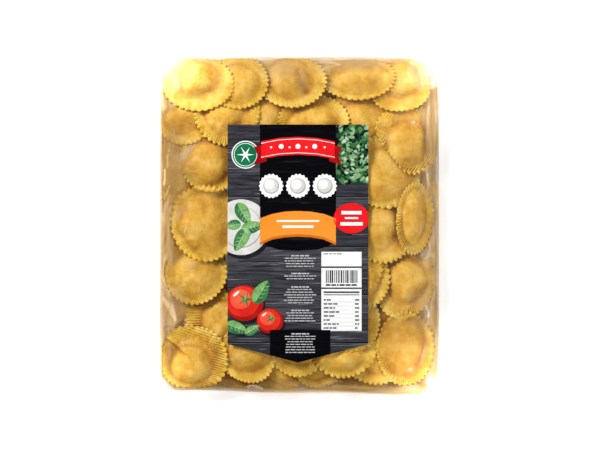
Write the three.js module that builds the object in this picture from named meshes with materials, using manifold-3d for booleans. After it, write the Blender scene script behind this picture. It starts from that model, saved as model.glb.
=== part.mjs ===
// A sealed clear pack of frozen ravioli that lies flat, with its card label on top.
//
// Millimetres, +Z up. The origin is on the surface that the pack lies on, under the middle of the
// pack. +Y runs along the pack to its top edge and +X to its right side.
//
// The film is drawn tight over the ravioli, so the pack is one solid: a pillow-shaped core, the
// ravioli that press up through the film, and the flat place where the film is stuck to the label.

import * as THREE from "three";
import { mergeVertices } from "three/addons/utils/BufferGeometryUtils.js";
import Module from "manifold-3d";

// The pack
const HALF_WIDTH = 126;
const HALF_LENGTH = 152.7;
const CORNER_RADIUS = 17;
const SEAM_HEIGHT = 12; // the sides stand out furthest at this height
const EDGE_ROUNDING = 10; // width of the strip where the film curves over to the side
const FILM_HEIGHT = 13.5; // the film's height between two ravioli
const BOTTOM_SLANT = 0.018; // the bottom edge draws back towards the left by this much per mm
const BOTTOM_RIPPLE = 0.7; // and ripples by this much each way
const RIPPLE_LENGTH = 110;
const BOTTOM_CREST = 90; // it reaches furthest at this x

// The ravioli
const SHEET = 2.6; // thickness of the pasta at the rim
const FILLING_POWER = 2.6; // how square-shouldered the filling stands
const FILLING_BLEND = 0.02; // how softly the filling runs out into the crimped rim
const SIDES = 24;
const FILLING_RINGS = [1, 0.75, 0.42]; // where the top is measured, as shares of the filling's size
const ROOT_HEIGHT = 8; // the ravioli go down to here, inside the core
const TUCK = 0.6; // the nearest that a ravioli comes to the side of the pack
const TUCK_SOFTNESS = 1.5; // how gradually a ravioli is pressed in at the side

// The label: a rectangle with a shallow point at its lower end
const LABEL_LEFT = -64.4;
const LABEL_RIGHT = 61.6;
const LABEL_TOP = 91.1;
const LABEL_LOW = -105.6;
const LABEL_TIP = -122.2;
const LABEL_HEIGHT = 27.2;
const LABEL_THICKNESS = 0.4;
const LABEL_GAP = 0.3;
const LABEL_COLUMNS = 12;
const LABEL_ROWS = 16;
const SEAT_MARGIN = 1.5; // how far the film's flat place reaches past the label
const SEAT_SPREAD = 6; // how much wider it is at the foot of its slope

// Every ravioli that shows: its middle, its half width and half depth, its turn in degrees, the
// height of its rim, how it rises to the right and to the top edge in mm per mm, and its filling:
// the middle (from the ravioli's own), the half width and half depth, and the height.
const RAVIOLI = [
  // along the top edge
  { at: [-92, 129], half: [33, 25], turn: -6, rim: 16, rise: [0.1, -0.12], filling: [-2, -1, 21, 18, 8] },
  { at: [-56, 130], half: [28, 24], turn: 0, rim: 15.5, rise: [0.12, -0.1], filling: [0, -2, 19, 16, 6] },
  { at: [-7, 131], half: [31, 24], turn: 0, rim: 16, rise: [0.06, -0.14], filling: [-2, 2, 20, 16, 6] },
  { at: [52, 131], half: [34, 17], turn: 0, rim: 15.5, rise: [0.08, -0.16], filling: [3, 0, 24, 12, 6] },
  { at: [90, 128], half: [28, 25], turn: 0, rim: 14, rise: [0.03, -0.12], filling: [3, 1, 17, 17, 6] },
  // down the left side
  { at: [-105, 102], half: [27, 28], turn: 0, rim: 11, rise: [0.02, -0.1], filling: [0, 0, 18, 17, 6] },
  { at: [-65, 102], half: [29, 29], turn: 0, rim: 13, rise: [-0.04, -0.12], filling: [-2, 1, 18, 18, 7] },
  { at: [-79, 60], half: [29, 30], turn: 0, rim: 14, rise: [-0.05, -0.14], filling: [-4, -2, 20, 21, 9] },
  { at: [-111, 49], half: [27, 28], turn: 0, rim: 9, rise: [0, -0.05], filling: [0, 0, 18, 18, 6] },
  { at: [-87, 0], half: [29, 32], turn: 8, rim: 14.5, rise: [-0.03, -0.15], filling: [1, 4, 21, 23, 6] },
  { at: [-101, -6], half: [27, 28], turn: 0, rim: 9, rise: [0, -0.05], filling: [0, 0, 18, 18, 6] },
  { at: [-94, -41], half: [28, 29], turn: 0, rim: 13.5, rise: [0.02, -0.16], filling: [0, -2, 22, 20, 7] },
  { at: [-72, -86], half: [30, 28], turn: 0, rim: 12, rise: [-0.02, -0.05], filling: [5, 0, 20, 18, 6] },
  { at: [-96, -119], half: [31, 31], turn: 0, rim: 16, rise: [0.06, -0.05], filling: [-4, 0, 19, 22, 9] },
  // along the bottom edge
  { at: [-46, -115], half: [25, 28], turn: 0, rim: 13.5, rise: [0, -0.1], filling: [-2, 3, 20, 18, 7] },
  { at: [-2, -108], half: [28, 28], turn: 0, rim: 12, rise: [0, -0.1], filling: [0, 2, 18, 18, 6] },
  { at: [20, -121], half: [26, 27], turn: 0, rim: 8, rise: [0, -0.02], filling: [0, -2, 18, 18, 6] },
  { at: [39, -106], half: [31, 31], turn: 0, rim: 14, rise: [0, -0.12], filling: [0, -7, 18, 16, 7] },
  { at: [67, -114], half: [29, 29], turn: 0, rim: 11, rise: [0, -0.05], filling: [0, 0, 18, 18, 6] },
  { at: [96, -109], half: [26, 34], turn: -4, rim: 14.5, rise: [0, -0.09], filling: [-3, 2, 19, 23, 5] },
  // up the right side
  { at: [97, -51], half: [24, 28], turn: 0, rim: 14, rise: [0, -0.1], filling: [-1, 0, 17, 19, 9] },
  { at: [76, -2], half: [28, 31], turn: -10, rim: 13.5, rise: [0, -0.13], filling: [-4, 4, 18, 21, 7] },
  { at: [104, 7], half: [17, 32], turn: -3, rim: 17, rise: [-0.25, -0.06], filling: [-1, 2, 10, 23, 6] },
  { at: [71, 49], half: [31, 32], turn: 0, rim: 13, rise: [0, -0.12], filling: [0, 0, 20, 20, 7] },
  { at: [97, 79], half: [30, 32], turn: 0, rim: 14, rise: [0, -0.12], filling: [2, 0, 19, 22, 7] },
  // round the label
  { at: [55, 88], half: [29, 29], turn: 0, rim: 10, rise: [0, -0.05], filling: [0, 0, 18, 18, 6] },
  { at: [13, 90], half: [32, 23], turn: 0, rim: 12.5, rise: [0, -0.05], filling: [0, 0, 22, 15, 6] },
  { at: [-34, 98], half: [27, 28], turn: 0, rim: 10, rise: [0, -0.05], filling: [0, 0, 18, 18, 6] },
  { at: [47, -32], half: [29, 29], turn: 0, rim: 13, rise: [0, -0.12], filling: [0, 0, 18, 18, 7] },
  { at: [52, -53], half: [29, 28], turn: 0, rim: 11, rise: [0, -0.12], filling: [0, 0, 18, 18, 6] },
  { at: [44, -79], half: [28, 22], turn: 0, rim: 14.5, rise: [0, -0.1], filling: [0, 0, 18, 15, 6] },
];

const { clamp, degToRad, lerp } = THREE.MathUtils;
const wasm = await Module();
wasm.setup();

// ---- Closed meshes ----

// A geometry from shared points and triangles.
function geometryOf(points, triangles) {
  const geometry = new THREE.BufferGeometry().setFromPoints(points);
  geometry.setIndex(triangles);
  return geometry;
}

// Rings with the same number of points, joined from the first to the last and closed by a fan at
// both ends. Each ring runs anticlockwise seen from above and the first one is the lowest.
function loft(rings) {
  const count = rings[0].length;
  const points = rings.flat();
  const triangles = [];
  for (let r = 0; r + 1 < rings.length; r++) {
    for (let i = 0; i < count; i++) {
      const a = r * count + i;
      const b = r * count + ((i + 1) % count);
      triangles.push(a, b, b + count, a, b + count, a + count);
    }
  }
  const middleOf = (ring) => ring.reduce((sum, p) => sum.add(p), new THREE.Vector3()).divideScalar(count);
  const low = points.push(middleOf(rings[0])) - 1;
  const high = points.push(middleOf(rings.at(-1))) - 1;
  const last = (rings.length - 1) * count;
  for (let i = 0; i < count; i++) {
    const next = (i + 1) % count;
    triangles.push(low, next, i);
    triangles.push(high, last + i, last + next);
  }
  return geometryOf(points, triangles);
}

// A slab over a grid of columns and rows: over(u, v) and under(u, v) are its two faces, with u from
// left to right and v from the top edge down.
function slab(columns, rows, over, under) {
  const points = [];
  for (const face of [over, under]) {
    for (let r = 0; r <= rows; r++) {
      for (let c = 0; c <= columns; c++) points.push(face(c / columns, r / rows));
    }
  }
  const half = points.length / 2;
  const at = (c, r) => r * (columns + 1) + c;
  const triangles = [];
  for (let r = 0; r < rows; r++) {
    for (let c = 0; c < columns; c++) {
      const [a, b, d, e] = [at(c, r), at(c, r + 1), at(c + 1, r + 1), at(c + 1, r)];
      triangles.push(a, b, d, a, d, e);
      triangles.push(half + a, half + d, half + b, half + a, half + e, half + d);
    }
  }
  const wall = (a, b) => triangles.push(a, half + a, half + b, a, half + b, b);
  for (let c = 0; c < columns; c++) {
    wall(at(c + 1, 0), at(c, 0));
    wall(at(c, rows), at(c + 1, rows));
  }
  for (let r = 0; r < rows; r++) {
    wall(at(0, r), at(0, r + 1));
    wall(at(columns, r + 1), at(columns, r));
  }
  return geometryOf(points, triangles);
}

// ---- The pack's plan and pillow form ----

// The bottom edge runs at a slant and in ripples: what lies near it is drawn in by the same amount,
// fading out towards the middle of the pack.
function slantBottom(x, y) {
  if (y >= 0) return y;
  const slant = BOTTOM_SLANT * Math.max(BOTTOM_CREST - x, 0);
  const ripple = BOTTOM_RIPPLE * (1 - Math.cos((2 * Math.PI * (x - BOTTOM_CREST)) / RIPPLE_LENGTH));
  return y + (slant + ripple) * Math.abs(y / HALF_LENGTH) ** 6;
}

// How far inside the rounded rectangle a point lies, and the direction from the pack's inner
// rectangle to the side there.
function sideOf(x, y) {
  const reachX = HALF_WIDTH - CORNER_RADIUS;
  const reachY = HALF_LENGTH - CORNER_RADIUS;
  const foot = new THREE.Vector2(clamp(x, -reachX, reachX), clamp(y, -reachY, reachY));
  const outward = new THREE.Vector2(x, y).sub(foot);
  return { foot, outward, inset: CORNER_RADIUS - outward.length() };
}

// The share of its height above or below the seam that the pack has at this inset.
function fullness(inset) {
  const across = clamp(inset / EDGE_ROUNDING, 0, 1);
  return Math.sqrt(1 - (1 - across) ** 2);
}

// A point of a ravioli as it lies in the film: pressed in at the side, and flattened there.
function packed(x, y, z) {
  const { foot, outward, inset } = sideOf(x, y);
  const pressed = TUCK + TUCK_SOFTNESS * Math.log1p(Math.exp((inset - TUCK) / TUCK_SOFTNESS));
  const place = outward.setLength(CORNER_RADIUS - pressed).add(foot);
  const height = SEAM_HEIGHT + (z - SEAM_HEIGHT) * fullness(pressed);
  return new THREE.Vector3(place.x, slantBottom(place.x, place.y), height);
}

// The plan outline moved in from the side: four arcs with straight sides between them.
function outlineRing(inset, height) {
  const cornerSteps = 6;
  const sideSteps = 10;
  const radius = CORNER_RADIUS - inset;
  const reachX = HALF_WIDTH - CORNER_RADIUS;
  const reachY = HALF_LENGTH - CORNER_RADIUS;
  const signs = [[1, 1], [-1, 1], [-1, -1], [1, -1]];
  const onCorner = (k, angle) =>
    new THREE.Vector2(signs[k][0] * reachX, signs[k][1] * reachY).add(
      new THREE.Vector2(radius, 0).rotateAround(new THREE.Vector2(), angle),
    );
  const ring = [];
  for (let k = 0; k < 4; k++) {
    const start = (k * Math.PI) / 2;
    const end = start + Math.PI / 2;
    for (let i = 0; i < cornerSteps; i++) ring.push(onCorner(k, lerp(start, end, i / cornerSteps)));
    const from = onCorner(k, end);
    const to = onCorner((k + 1) % 4, end);
    for (let i = 0; i < sideSteps; i++) ring.push(from.clone().lerp(to, i / sideSteps));
  }
  return ring.map((p) => new THREE.Vector3(p.x, slantBottom(p.x, p.y), height));
}

// The core: flat below, where it lies, rounded at the sides, and nearly flat above.
function coreGeometry() {
  const steps = 5;
  const rings = [];
  for (let i = 0; i <= steps; i++) {
    const angle = (i / steps) * (Math.PI / 2);
    rings.push(outlineRing(EDGE_ROUNDING * (1 - Math.sin(angle)), SEAM_HEIGHT * (1 - Math.cos(angle))));
  }
  const rise = FILM_HEIGHT - SEAM_HEIGHT;
  for (let i = 1; i <= steps; i++) {
    const angle = (i / steps) * (Math.PI / 2);
    rings.push(outlineRing(EDGE_ROUNDING * (1 - Math.cos(angle)), SEAM_HEIGHT + rise * Math.sin(angle)));
  }
  return loft(rings);
}

// ---- One ravioli ----

// Closed from its root in the core to the top of its filling.
function ravioliGeometry({ at, half, turn, rim, rise, filling }) {
  const [fillX, fillY, fillWidth, fillDepth, fillHeight] = filling;
  const middle = new THREE.Vector2(...at);
  const turned = (x, y) => new THREE.Vector2(x, y).rotateAround(new THREE.Vector2(), degToRad(turn));
  const fillMiddle = new THREE.Vector2(fillX, fillY);

  // From a point relative to the middle, and how far out it is of the filling (1 is its edge).
  const onTop = (place, out) => {
    const left = 1 - out ** FILLING_POWER;
    const dome = (fillHeight / 2) * (left + Math.sqrt(left * left + FILLING_BLEND));
    const height = rim + SHEET + rise[0] * place.x + rise[1] * place.y + dome;
    return packed(middle.x + place.x, middle.y + place.y, height);
  };
  const ringOf = (point) =>
    Array.from({ length: SIDES }, (_, i) => point((2 * Math.PI * i) / SIDES));
  const rimPoint = (angle) => turned(half[0] * Math.cos(angle), half[1] * Math.sin(angle));
  const fillPoint = (angle, share) =>
    turned(share * fillWidth * Math.cos(angle), share * fillDepth * Math.sin(angle)).add(fillMiddle);

  const root = ringOf((angle) => {
    const place = rimPoint(angle).add(middle);
    return packed(place.x, place.y, ROOT_HEIGHT);
  });
  const outer = ringOf((angle) => onTop(rimPoint(angle), 2));
  const domes = FILLING_RINGS.map((share) => ringOf((angle) => onTop(fillPoint(angle, share), share)));
  return loft([root, outer, ...domes]);
}

// ---- The label and the film's flat place under it ----

// A point of the label's plan, grown by a margin.
function labelPlan(u, v, margin) {
  const x = lerp(LABEL_LEFT - margin, LABEL_RIGHT + margin, u);
  const low = lerp(LABEL_TIP, LABEL_LOW, Math.abs(2 * u - 1)) - margin;
  return new THREE.Vector2(x, lerp(LABEL_TOP + margin, low, v));
}

// The label's underside: nearly flat, with the slow waves of a card that spans the ravioli.
function labelUnderside(x, y) {
  return LABEL_HEIGHT + 0.3 * Math.sin((x + 0.4 * y) / 21) + 0.25 * Math.cos((y - 0.5 * x) / 27);
}

function labelGeometry() {
  const face = (lift) => (u, v) => {
    const { x, y } = labelPlan(u, v, 0);
    return new THREE.Vector3(x, y, labelUnderside(x, y) + lift);
  };
  return slab(LABEL_COLUMNS, LABEL_ROWS, face(LABEL_THICKNESS), face(0));
}

function seatGeometry() {
  const over = (u, v) => {
    const { x, y } = labelPlan(u, v, SEAT_MARGIN);
    return new THREE.Vector3(x, y, labelUnderside(x, y) - LABEL_GAP);
  };
  const under = (u, v) => {
    const { x, y } = labelPlan(u, v, SEAT_MARGIN + SEAT_SPREAD);
    return new THREE.Vector3(x, y, SEAM_HEIGHT);
  };
  return slab(LABEL_COLUMNS, LABEL_ROWS, over, under);
}

// ---- Joining ----

function solidOf(geometry) {
  const merged = mergeVertices(geometry, 1e-4);
  const vertProperties = merged.attributes.position.array;
  const triVerts = new Uint32Array(merged.index.array);
  return new wasm.Manifold(new wasm.Mesh({ numProp: 3, vertProperties, triVerts }));
}

function geometryOfSolid(solid) {
  const { vertProperties, triVerts } = solid.getMesh();
  const geometry = new THREE.BufferGeometry();
  geometry.setAttribute("position", new THREE.BufferAttribute(vertProperties, 3));
  geometry.setIndex(new THREE.BufferAttribute(triVerts, 1));
  return geometry;
}

function bagGeometry() {
  const pieces = [seatGeometry(), ...RAVIOLI.map(ravioliGeometry)].map(solidOf);
  return geometryOfSolid(pieces.reduce((whole, piece) => whole.add(piece), solidOf(coreGeometry())));
}

// ---- The pack ----

const filmOverPasta = new THREE.MeshStandardMaterial({ color: 0xd9a55c, roughness: 0.3, metalness: 0 });
const printedCard = new THREE.MeshStandardMaterial({ color: 0x3a3c40, roughness: 0.45, metalness: 0 });

const bag = new THREE.Mesh(bagGeometry(), filmOverPasta);
bag.name = "bag";

const label = new THREE.Mesh(labelGeometry(), printedCard);
label.name = "label";

const pack = new THREE.Group();
pack.add(bag, label);

export default pack;
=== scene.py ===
# %% [markdown]
# # A clear pack of frozen ravioli
#
# The pack is a pillow of clear film, shut all round and drawn tight over two layers of round, fluted
# ravioli. A card label with a pointed lower end is stuck on top. This lesson models the ravioli one
# by one, lets them settle on each other, draws the film over them, and prints the label.
#
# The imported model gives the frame: metres, +Z up, with the origin under the middle of the pack. The
# ravioli and the film are worked out in millimetres, and turned into metres as they become meshes.

# %% The frame
import math

import bpy
import numpy as np
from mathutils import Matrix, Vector


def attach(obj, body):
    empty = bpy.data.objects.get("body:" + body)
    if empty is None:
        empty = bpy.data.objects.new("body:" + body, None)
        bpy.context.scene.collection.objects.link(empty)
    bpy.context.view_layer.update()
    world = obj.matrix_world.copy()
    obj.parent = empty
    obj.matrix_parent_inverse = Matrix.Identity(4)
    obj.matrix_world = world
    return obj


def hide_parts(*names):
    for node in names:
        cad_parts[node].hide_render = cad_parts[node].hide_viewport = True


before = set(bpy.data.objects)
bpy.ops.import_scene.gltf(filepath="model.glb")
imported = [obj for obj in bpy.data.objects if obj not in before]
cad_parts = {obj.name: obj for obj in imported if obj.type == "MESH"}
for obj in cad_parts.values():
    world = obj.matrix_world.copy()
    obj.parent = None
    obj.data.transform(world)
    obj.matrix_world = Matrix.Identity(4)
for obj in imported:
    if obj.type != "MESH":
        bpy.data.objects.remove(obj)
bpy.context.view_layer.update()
bpy.ops.object.select_all(action="DESELECT")
MM = 0.001

# %% [markdown]
# ## Camera
#
# The pack lies flat and is looked at straight from above. A long lens keeps the sides of the pack
# from showing, as a lens close up would make them.

# %% Camera
IMAGE_WIDTH = 600
MM_PER_PIXEL = 0.9
VIEW_MIDDLE = Vector((0.45, 1.08, 18)) * MM
LENS = 135
SENSOR = 36

camera_data = bpy.data.cameras.new("camera")
camera_data.lens = LENS
camera_data.sensor_width = SENSOR
camera = bpy.data.objects.new("camera", camera_data)
bpy.context.scene.collection.objects.link(camera)
camera.location = VIEW_MIDDLE + Vector((0, 0, IMAGE_WIDTH * MM_PER_PIXEL * MM * LENS / SENSOR))
bpy.context.scene.camera = camera
print("camera height", round(camera.location.z, 3), "m")

# %% [markdown]
# ## Floor and light
#
# Clear film shows mostly as reflections, so the lamps matter as much as its material. A large soft
# lamp stands at the upper left, a weaker one at the lower right, and a narrow beam lights each corner
# so strongly that the pasta there goes from golden to lemon yellow. The space over the pack stays
# dim, because what hangs there would be mirrored by the film's flat parts as a grey veil.

# %% Floor and surroundings
WHITE = (1, 1, 1, 1)
FLOOR_SIZE = 6
FLOOR_DROP = 0.0004
FLOOR_COLOUR = (0.9, 0.9, 0.9, 1)
FLOOR_GLOW = 0.4
WORLD_STRENGTH = 0.3

scene = bpy.context.scene
scene.view_settings.view_transform = "Standard"

bpy.ops.mesh.primitive_plane_add(size=FLOOR_SIZE, location=(0, 0, -FLOOR_DROP))
floor = bpy.context.object
floor.name = "floor"
floor_material = bpy.data.materials.new("pale_floor")
floor_material.use_nodes = True
floor_shader = floor_material.node_tree.nodes["Principled BSDF"]
floor_shader.inputs["Base Color"].default_value = FLOOR_COLOUR
floor_shader.inputs["Roughness"].default_value = 0.9
floor_shader.inputs["Emission Color"].default_value = WHITE
floor_shader.inputs["Emission Strength"].default_value = FLOOR_GLOW
floor.data.materials.append(floor_material)

world = bpy.data.worlds.new("studio")
world.use_nodes = True
world.node_tree.nodes["Background"].inputs["Color"].default_value = WHITE
world.node_tree.nodes["Background"].inputs["Strength"].default_value = WORLD_STRENGTH
scene.world = world
print("floor", FLOOR_SIZE, "m wide,", FLOOR_DROP / MM, "mm under the pack")

# %% Lamps
# A corner's lamp stands this many times as far out as the place it lights.
BEAM_OUTWARD = 2.6
BEAM_HEIGHT = 0.45
BEAM_AIM_HEIGHT = 0.015
BEAM_SOURCE = 0.02


def lamp_at(name, kind, place, target, power):
    """A lamp that faces a target. Returns its data for what only one kind has."""
    data = bpy.data.lights.new(name, kind)
    data.energy = power
    lamp = bpy.data.objects.new(name, data)
    lamp.location = place
    lamp.rotation_euler = (Vector(target) - Vector(place)).to_track_quat("-Z", "Y").to_euler()
    scene.collection.objects.link(lamp)
    return data


def soft_lamp(name, place, size, power):
    lamp_at(name, "AREA", place, (0, 0, 0), power).size = size


def corner_spot(name, x, y, reach, power):
    """A narrow beam with a soft edge that lights one corner of the pack, from straight outside it."""
    place = Vector((BEAM_OUTWARD * x, BEAM_OUTWARD * y, BEAM_HEIGHT))
    target = Vector((x, y, BEAM_AIM_HEIGHT))
    data = lamp_at(name, "SPOT", place, target, power)
    data.spot_size = 2 * math.atan(reach / (place - target).length)
    data.spot_blend = 1
    data.shadow_soft_size = BEAM_SOURCE


soft_lamp("key", (-0.85, 0.75, 0.95), 0.5, 26.5)
soft_lamp("fill", (0.9, -0.5, 0.8), 0.8, 7)
corner_spot("corner_top_left", -0.116, 0.146, 0.056, 16)
corner_spot("corner_top_right", 0.116, 0.138, 0.054, 14)
corner_spot("corner_low_left", -0.131, -0.143, 0.044, 13)
corner_spot("corner_low_right", 0.112, -0.138, 0.043, 29)
print("lamps:", [light.name for light in bpy.data.lights])

# %% [markdown]
# ## The plan of the pack
#
# Everything in the pack follows one plan: a rounded rectangle whose bottom edge runs at a slight
# slant. Towards the sides the pack gets thinner, as a pillow does. What comes near a side is pressed
# in and flattened there. The functions below work on whole arrays of points at a time.

# %% Plan of the pack
HALF_WIDTH = 126.0
HALF_LENGTH = 152.7
CORNER_RADIUS = 17.0
SEAM_HEIGHT = 12.0
EDGE_ROUNDING = 10.0
BOTTOM_SLANT = 0.018
BOTTOM_RIPPLE = 0.7
RIPPLE_LENGTH = 110.0
BOTTOM_CREST = 90.0
BOTTOM_POWER = 6
TUCK = 1.3
TUCK_SOFTNESS = 1.5
REACH_X = HALF_WIDTH - CORNER_RADIUS
REACH_Y = HALF_LENGTH - CORNER_RADIUS
NEARLY_ZERO = 1e-6


def smooth_step(low, high, value):
    t = np.clip((value - low) / (high - low), 0, 1)
    return t * t * (3 - 2 * t)


def side_of(x, y):
    """The nearest point of the inner rectangle, the way from it, and how far in from the side."""
    foot_x = np.clip(x, -REACH_X, REACH_X)
    foot_y = np.clip(y, -REACH_Y, REACH_Y)
    away = np.hypot(x - foot_x, y - foot_y)
    return foot_x, foot_y, away, CORNER_RADIUS - away


def fullness(inset):
    """The share of its full thickness that the pack has at a distance in from the side."""
    across = np.clip(inset / EDGE_ROUNDING, 0, 1)
    return np.sqrt(1 - (1 - across) ** 2)


def slant_bottom(x, y):
    """Moves points near the bottom edge up, so that it runs at a slant with a slow wave in it."""
    slant = BOTTOM_SLANT * np.maximum(BOTTOM_CREST - x, 0)
    ripple = BOTTOM_RIPPLE * (1 - np.cos(2 * np.pi * (x - BOTTOM_CREST) / RIPPLE_LENGTH))
    return y + np.where(y < 0, (slant + ripple) * np.abs(y / HALF_LENGTH) ** BOTTOM_POWER, 0)


def move_to_inset(x, y, inset):
    """The same points at another distance in from the side."""
    foot_x, foot_y, away, _ = side_of(x, y)
    share = (CORNER_RADIUS - inset) / np.maximum(away, NEARLY_ZERO)
    share = np.where(away > NEARLY_ZERO, share, 1)
    return foot_x + (x - foot_x) * share, foot_y + (y - foot_y) * share


def packed(x, y, z):
    """Where a point of a ravioli comes to lie in the film."""
    inset = side_of(x, y)[3]
    pressed = TUCK + TUCK_SOFTNESS * np.logaddexp(0, (inset - TUCK) / TUCK_SOFTNESS)
    x, y = move_to_inset(x, y, pressed)
    return x, slant_bottom(x, y), SEAM_HEIGHT + (z - SEAM_HEIGHT) * fullness(pressed)


bottom_rise = slant_bottom(-REACH_X, -HALF_LENGTH) + HALF_LENGTH
print("the bottom edge rises by", round(float(bottom_rise), 1), "mm to the left")

# %% [markdown]
# ## The ravioli
#
# Each ravioli that shows has its own place, size and tilt, and its own filling. They are listed
# from the bottom of the heap to the top, so that each can be laid on those before it. Below them lies
# a first layer, set close along the sides and wider apart in the middle, with a little disorder.

# %% The ravioli that show
# name: middle x and y, half width and half depth, turn in degrees, height of the rim, rise to the
# right and to the top edge in mm per mm, filling: middle x and y, half width and half depth, height
SHOWN = {
    "bottom_mid_low": (-18, -125, 27, 26, 0, 5, 0, 0, 0, 0, 18, 17, 5),
    "bottom_low": (17, -121, 25, 27, 0, 5, 0, -0.02, -1, -2, 17, 17, 5),
    "left_low": (-101, -6, 27, 28, 0, 9, 0, -0.05, 0, 0, 18, 18, 6),
    "left_mid_low": (-111, 49, 27, 28, 0, 9, 0, -0.05, 0, 0, 18, 18, 6),
    "right_low": (98, -86, 28, 28, 0, 9, 0.02, 0, 0, 0, 18, 18, 1),
    "top_right_low": (53, 93, 30, 29, 0, 12, 0, -0.05, 0, 0, 18, 18, 6),
    "top_low": (-34, 98, 27, 28, 0, 10, 0, -0.05, 0, 0, 18, 18, 6),
    "top_mid_low": (13, 94, 32, 24, 0, 12.5, 0, -0.05, 0, 0, 22, 15, 6),
    "bottom_right_low": (67, -114, 29, 29, 0, 11, 0, -0.05, 0, 0, 18, 18, 6),
    "bottom_mid": (-2, -108, 28, 28, 0, 11, 0, -0.1, 0, 2, 18, 18, 6),
    "left_lower": (-72, -86, 30, 28, 0, 12, -0.02, -0.05, 5, 0, 20, 18, 6),
    "bottom_left": (-46, -115, 25, 28, 0, 13.5, 0, -0.1, 0, 1, 19, 17, 6.5),
    "corner_left": (-96, -120.5, 31, 31, 0, 15, 0.05, -0.04, -2, -5.5, 18, 17.5, 9),
    "left_four": (-94, -41, 28, 29, 0, 13.5, 0.02, -0.16, 0, -2, 22, 20, 7),
    "left_two": (-79, 61, 29, 30, 0, 13.5, -0.03, -0.08, -4, -5, 20, 19.5, 9),
    "left_three": (-85, 3, 31, 34, 8, 14.5, -0.03, -0.13, 0, 1, 23.5, 26, 5),
    "left_one": (-105, 102, 27, 28, 0, 11, 0.02, -0.1, 0, 0, 18, 17, 6),
    "left_inner": (-65, 102, 29, 29, 0, 13, -0.04, -0.12, -2, 1, 18, 18, 7),
    "bottom_right": (39, -106, 31, 31, 0, 12.5, 0, -0.1, -4, -6, 22, 20, 6.5),
    "inner_three": (43, -86, 29.5, 27, 0, 15, 0, -0.1, 0, 0, 18, 15, 6),
    "right_five": (96.5, -53.5, 24.5, 31, -30, 13, 0.08, -0.1, 0.4, 4, 17.5, 19, 9.5),
    "corner_right": (95.5, -110, 26, 33, -3, 14, 0, -0.09, -3, 3.5, 19, 24, 6.5),
    "inner_two": (53, -47, 28, 28, 0, 15.5, 0, -0.12, 0, 0, 18, 18, 6),
    "inner_one": (46, -34, 29, 28, 0, 14.5, 0.03, -0.12, 0, 0, 18, 18, 7),
    "right_four": (76, -2, 28, 31, -10, 15.5, -0.1, -0.12, -4, 4, 18, 21, 7),
    "right_two": (75, 49, 35, 32, 0, 16, -0.14, -0.1, 0, -2, 23, 22, 5.2),
    "right_three": (104, 7, 17, 32, -3, 17, -0.25, -0.06, -1, 2, 10, 23, 6),
    "right_one": (97, 79, 30, 32, 0, 13.5, 0, -0.12, 1, -5, 19, 20, 8.5),
    "top_five": (90, 128, 28, 25, 0, 14, 0.03, -0.12, 1, 4, 17, 15.5, 7.5),
    "top_four": (52, 134, 34, 20, 0, 15.5, 0.08, -0.16, 3, -1, 25, 14, 6),
    "top_three": (-7, 131, 31, 24, 0, 16, 0.06, -0.14, -2, 2, 20, 16, 6),
    "top_two": (-56, 130, 28, 24, 0, 15.5, 0.12, -0.1, 0, -2, 19, 16, 6),
    "top_one": (-92, 129, 33, 25, -6, 15.5, 0.1, -0.12, 0.5, 4, 17.5, 16, 8.5),
}
print(len(SHOWN), "ravioli have places of their own")

# %% The lower layer
# Of the lower ones: half width and half depth, then the filling. The height of their rims, how far
# off its place one may lie, its greatest turn in degrees and its greatest rise.
STANDARD = (30.5, 30.5, 0, 0, 18, 18, 6.5)
LOWER_RIM = 3.4
DISORDER = 3
MOST_TURN = 20
MOST_RISE = 0.03

SEED = 48
rng = np.random.default_rng(SEED)


def lying_flat(x, y):
    """A ravioli of the usual size, a little tilted and turned by chance."""
    half_width, half_depth, *filling = STANDARD
    turn = rng.uniform(-MOST_TURN, MOST_TURN)
    rise_x, rise_y = rng.uniform(-MOST_RISE, MOST_RISE, 2)
    return x, y, half_width, half_depth, turn, LOWER_RIM, rise_x, rise_y, *filling


def lower_layer():
    """Rows that cover the floor of the pack: close together along the sides, wider in the middle."""
    places = [(x, y) for x in (-96, 96) for y in (-122, -73, -24, 24, 73, 122)]
    places += [(-60, -122), (-48, 122), (0, 31), (0, 122), (50, -122), (48, 122)]
    places += [(x, y) for x in (-38, 38) for y in (-62, 0, 62)]
    rows = []
    for x, y in places:
        off_x = rng.uniform(-DISORDER, DISORDER)
        off_y = rng.uniform(-DISORDER, DISORDER)
        rows.append(lying_flat(x + off_x, y + off_y))
    return rows


LOWER = lower_layer()
print(len(LOWER), "ravioli lie under them")

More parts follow.
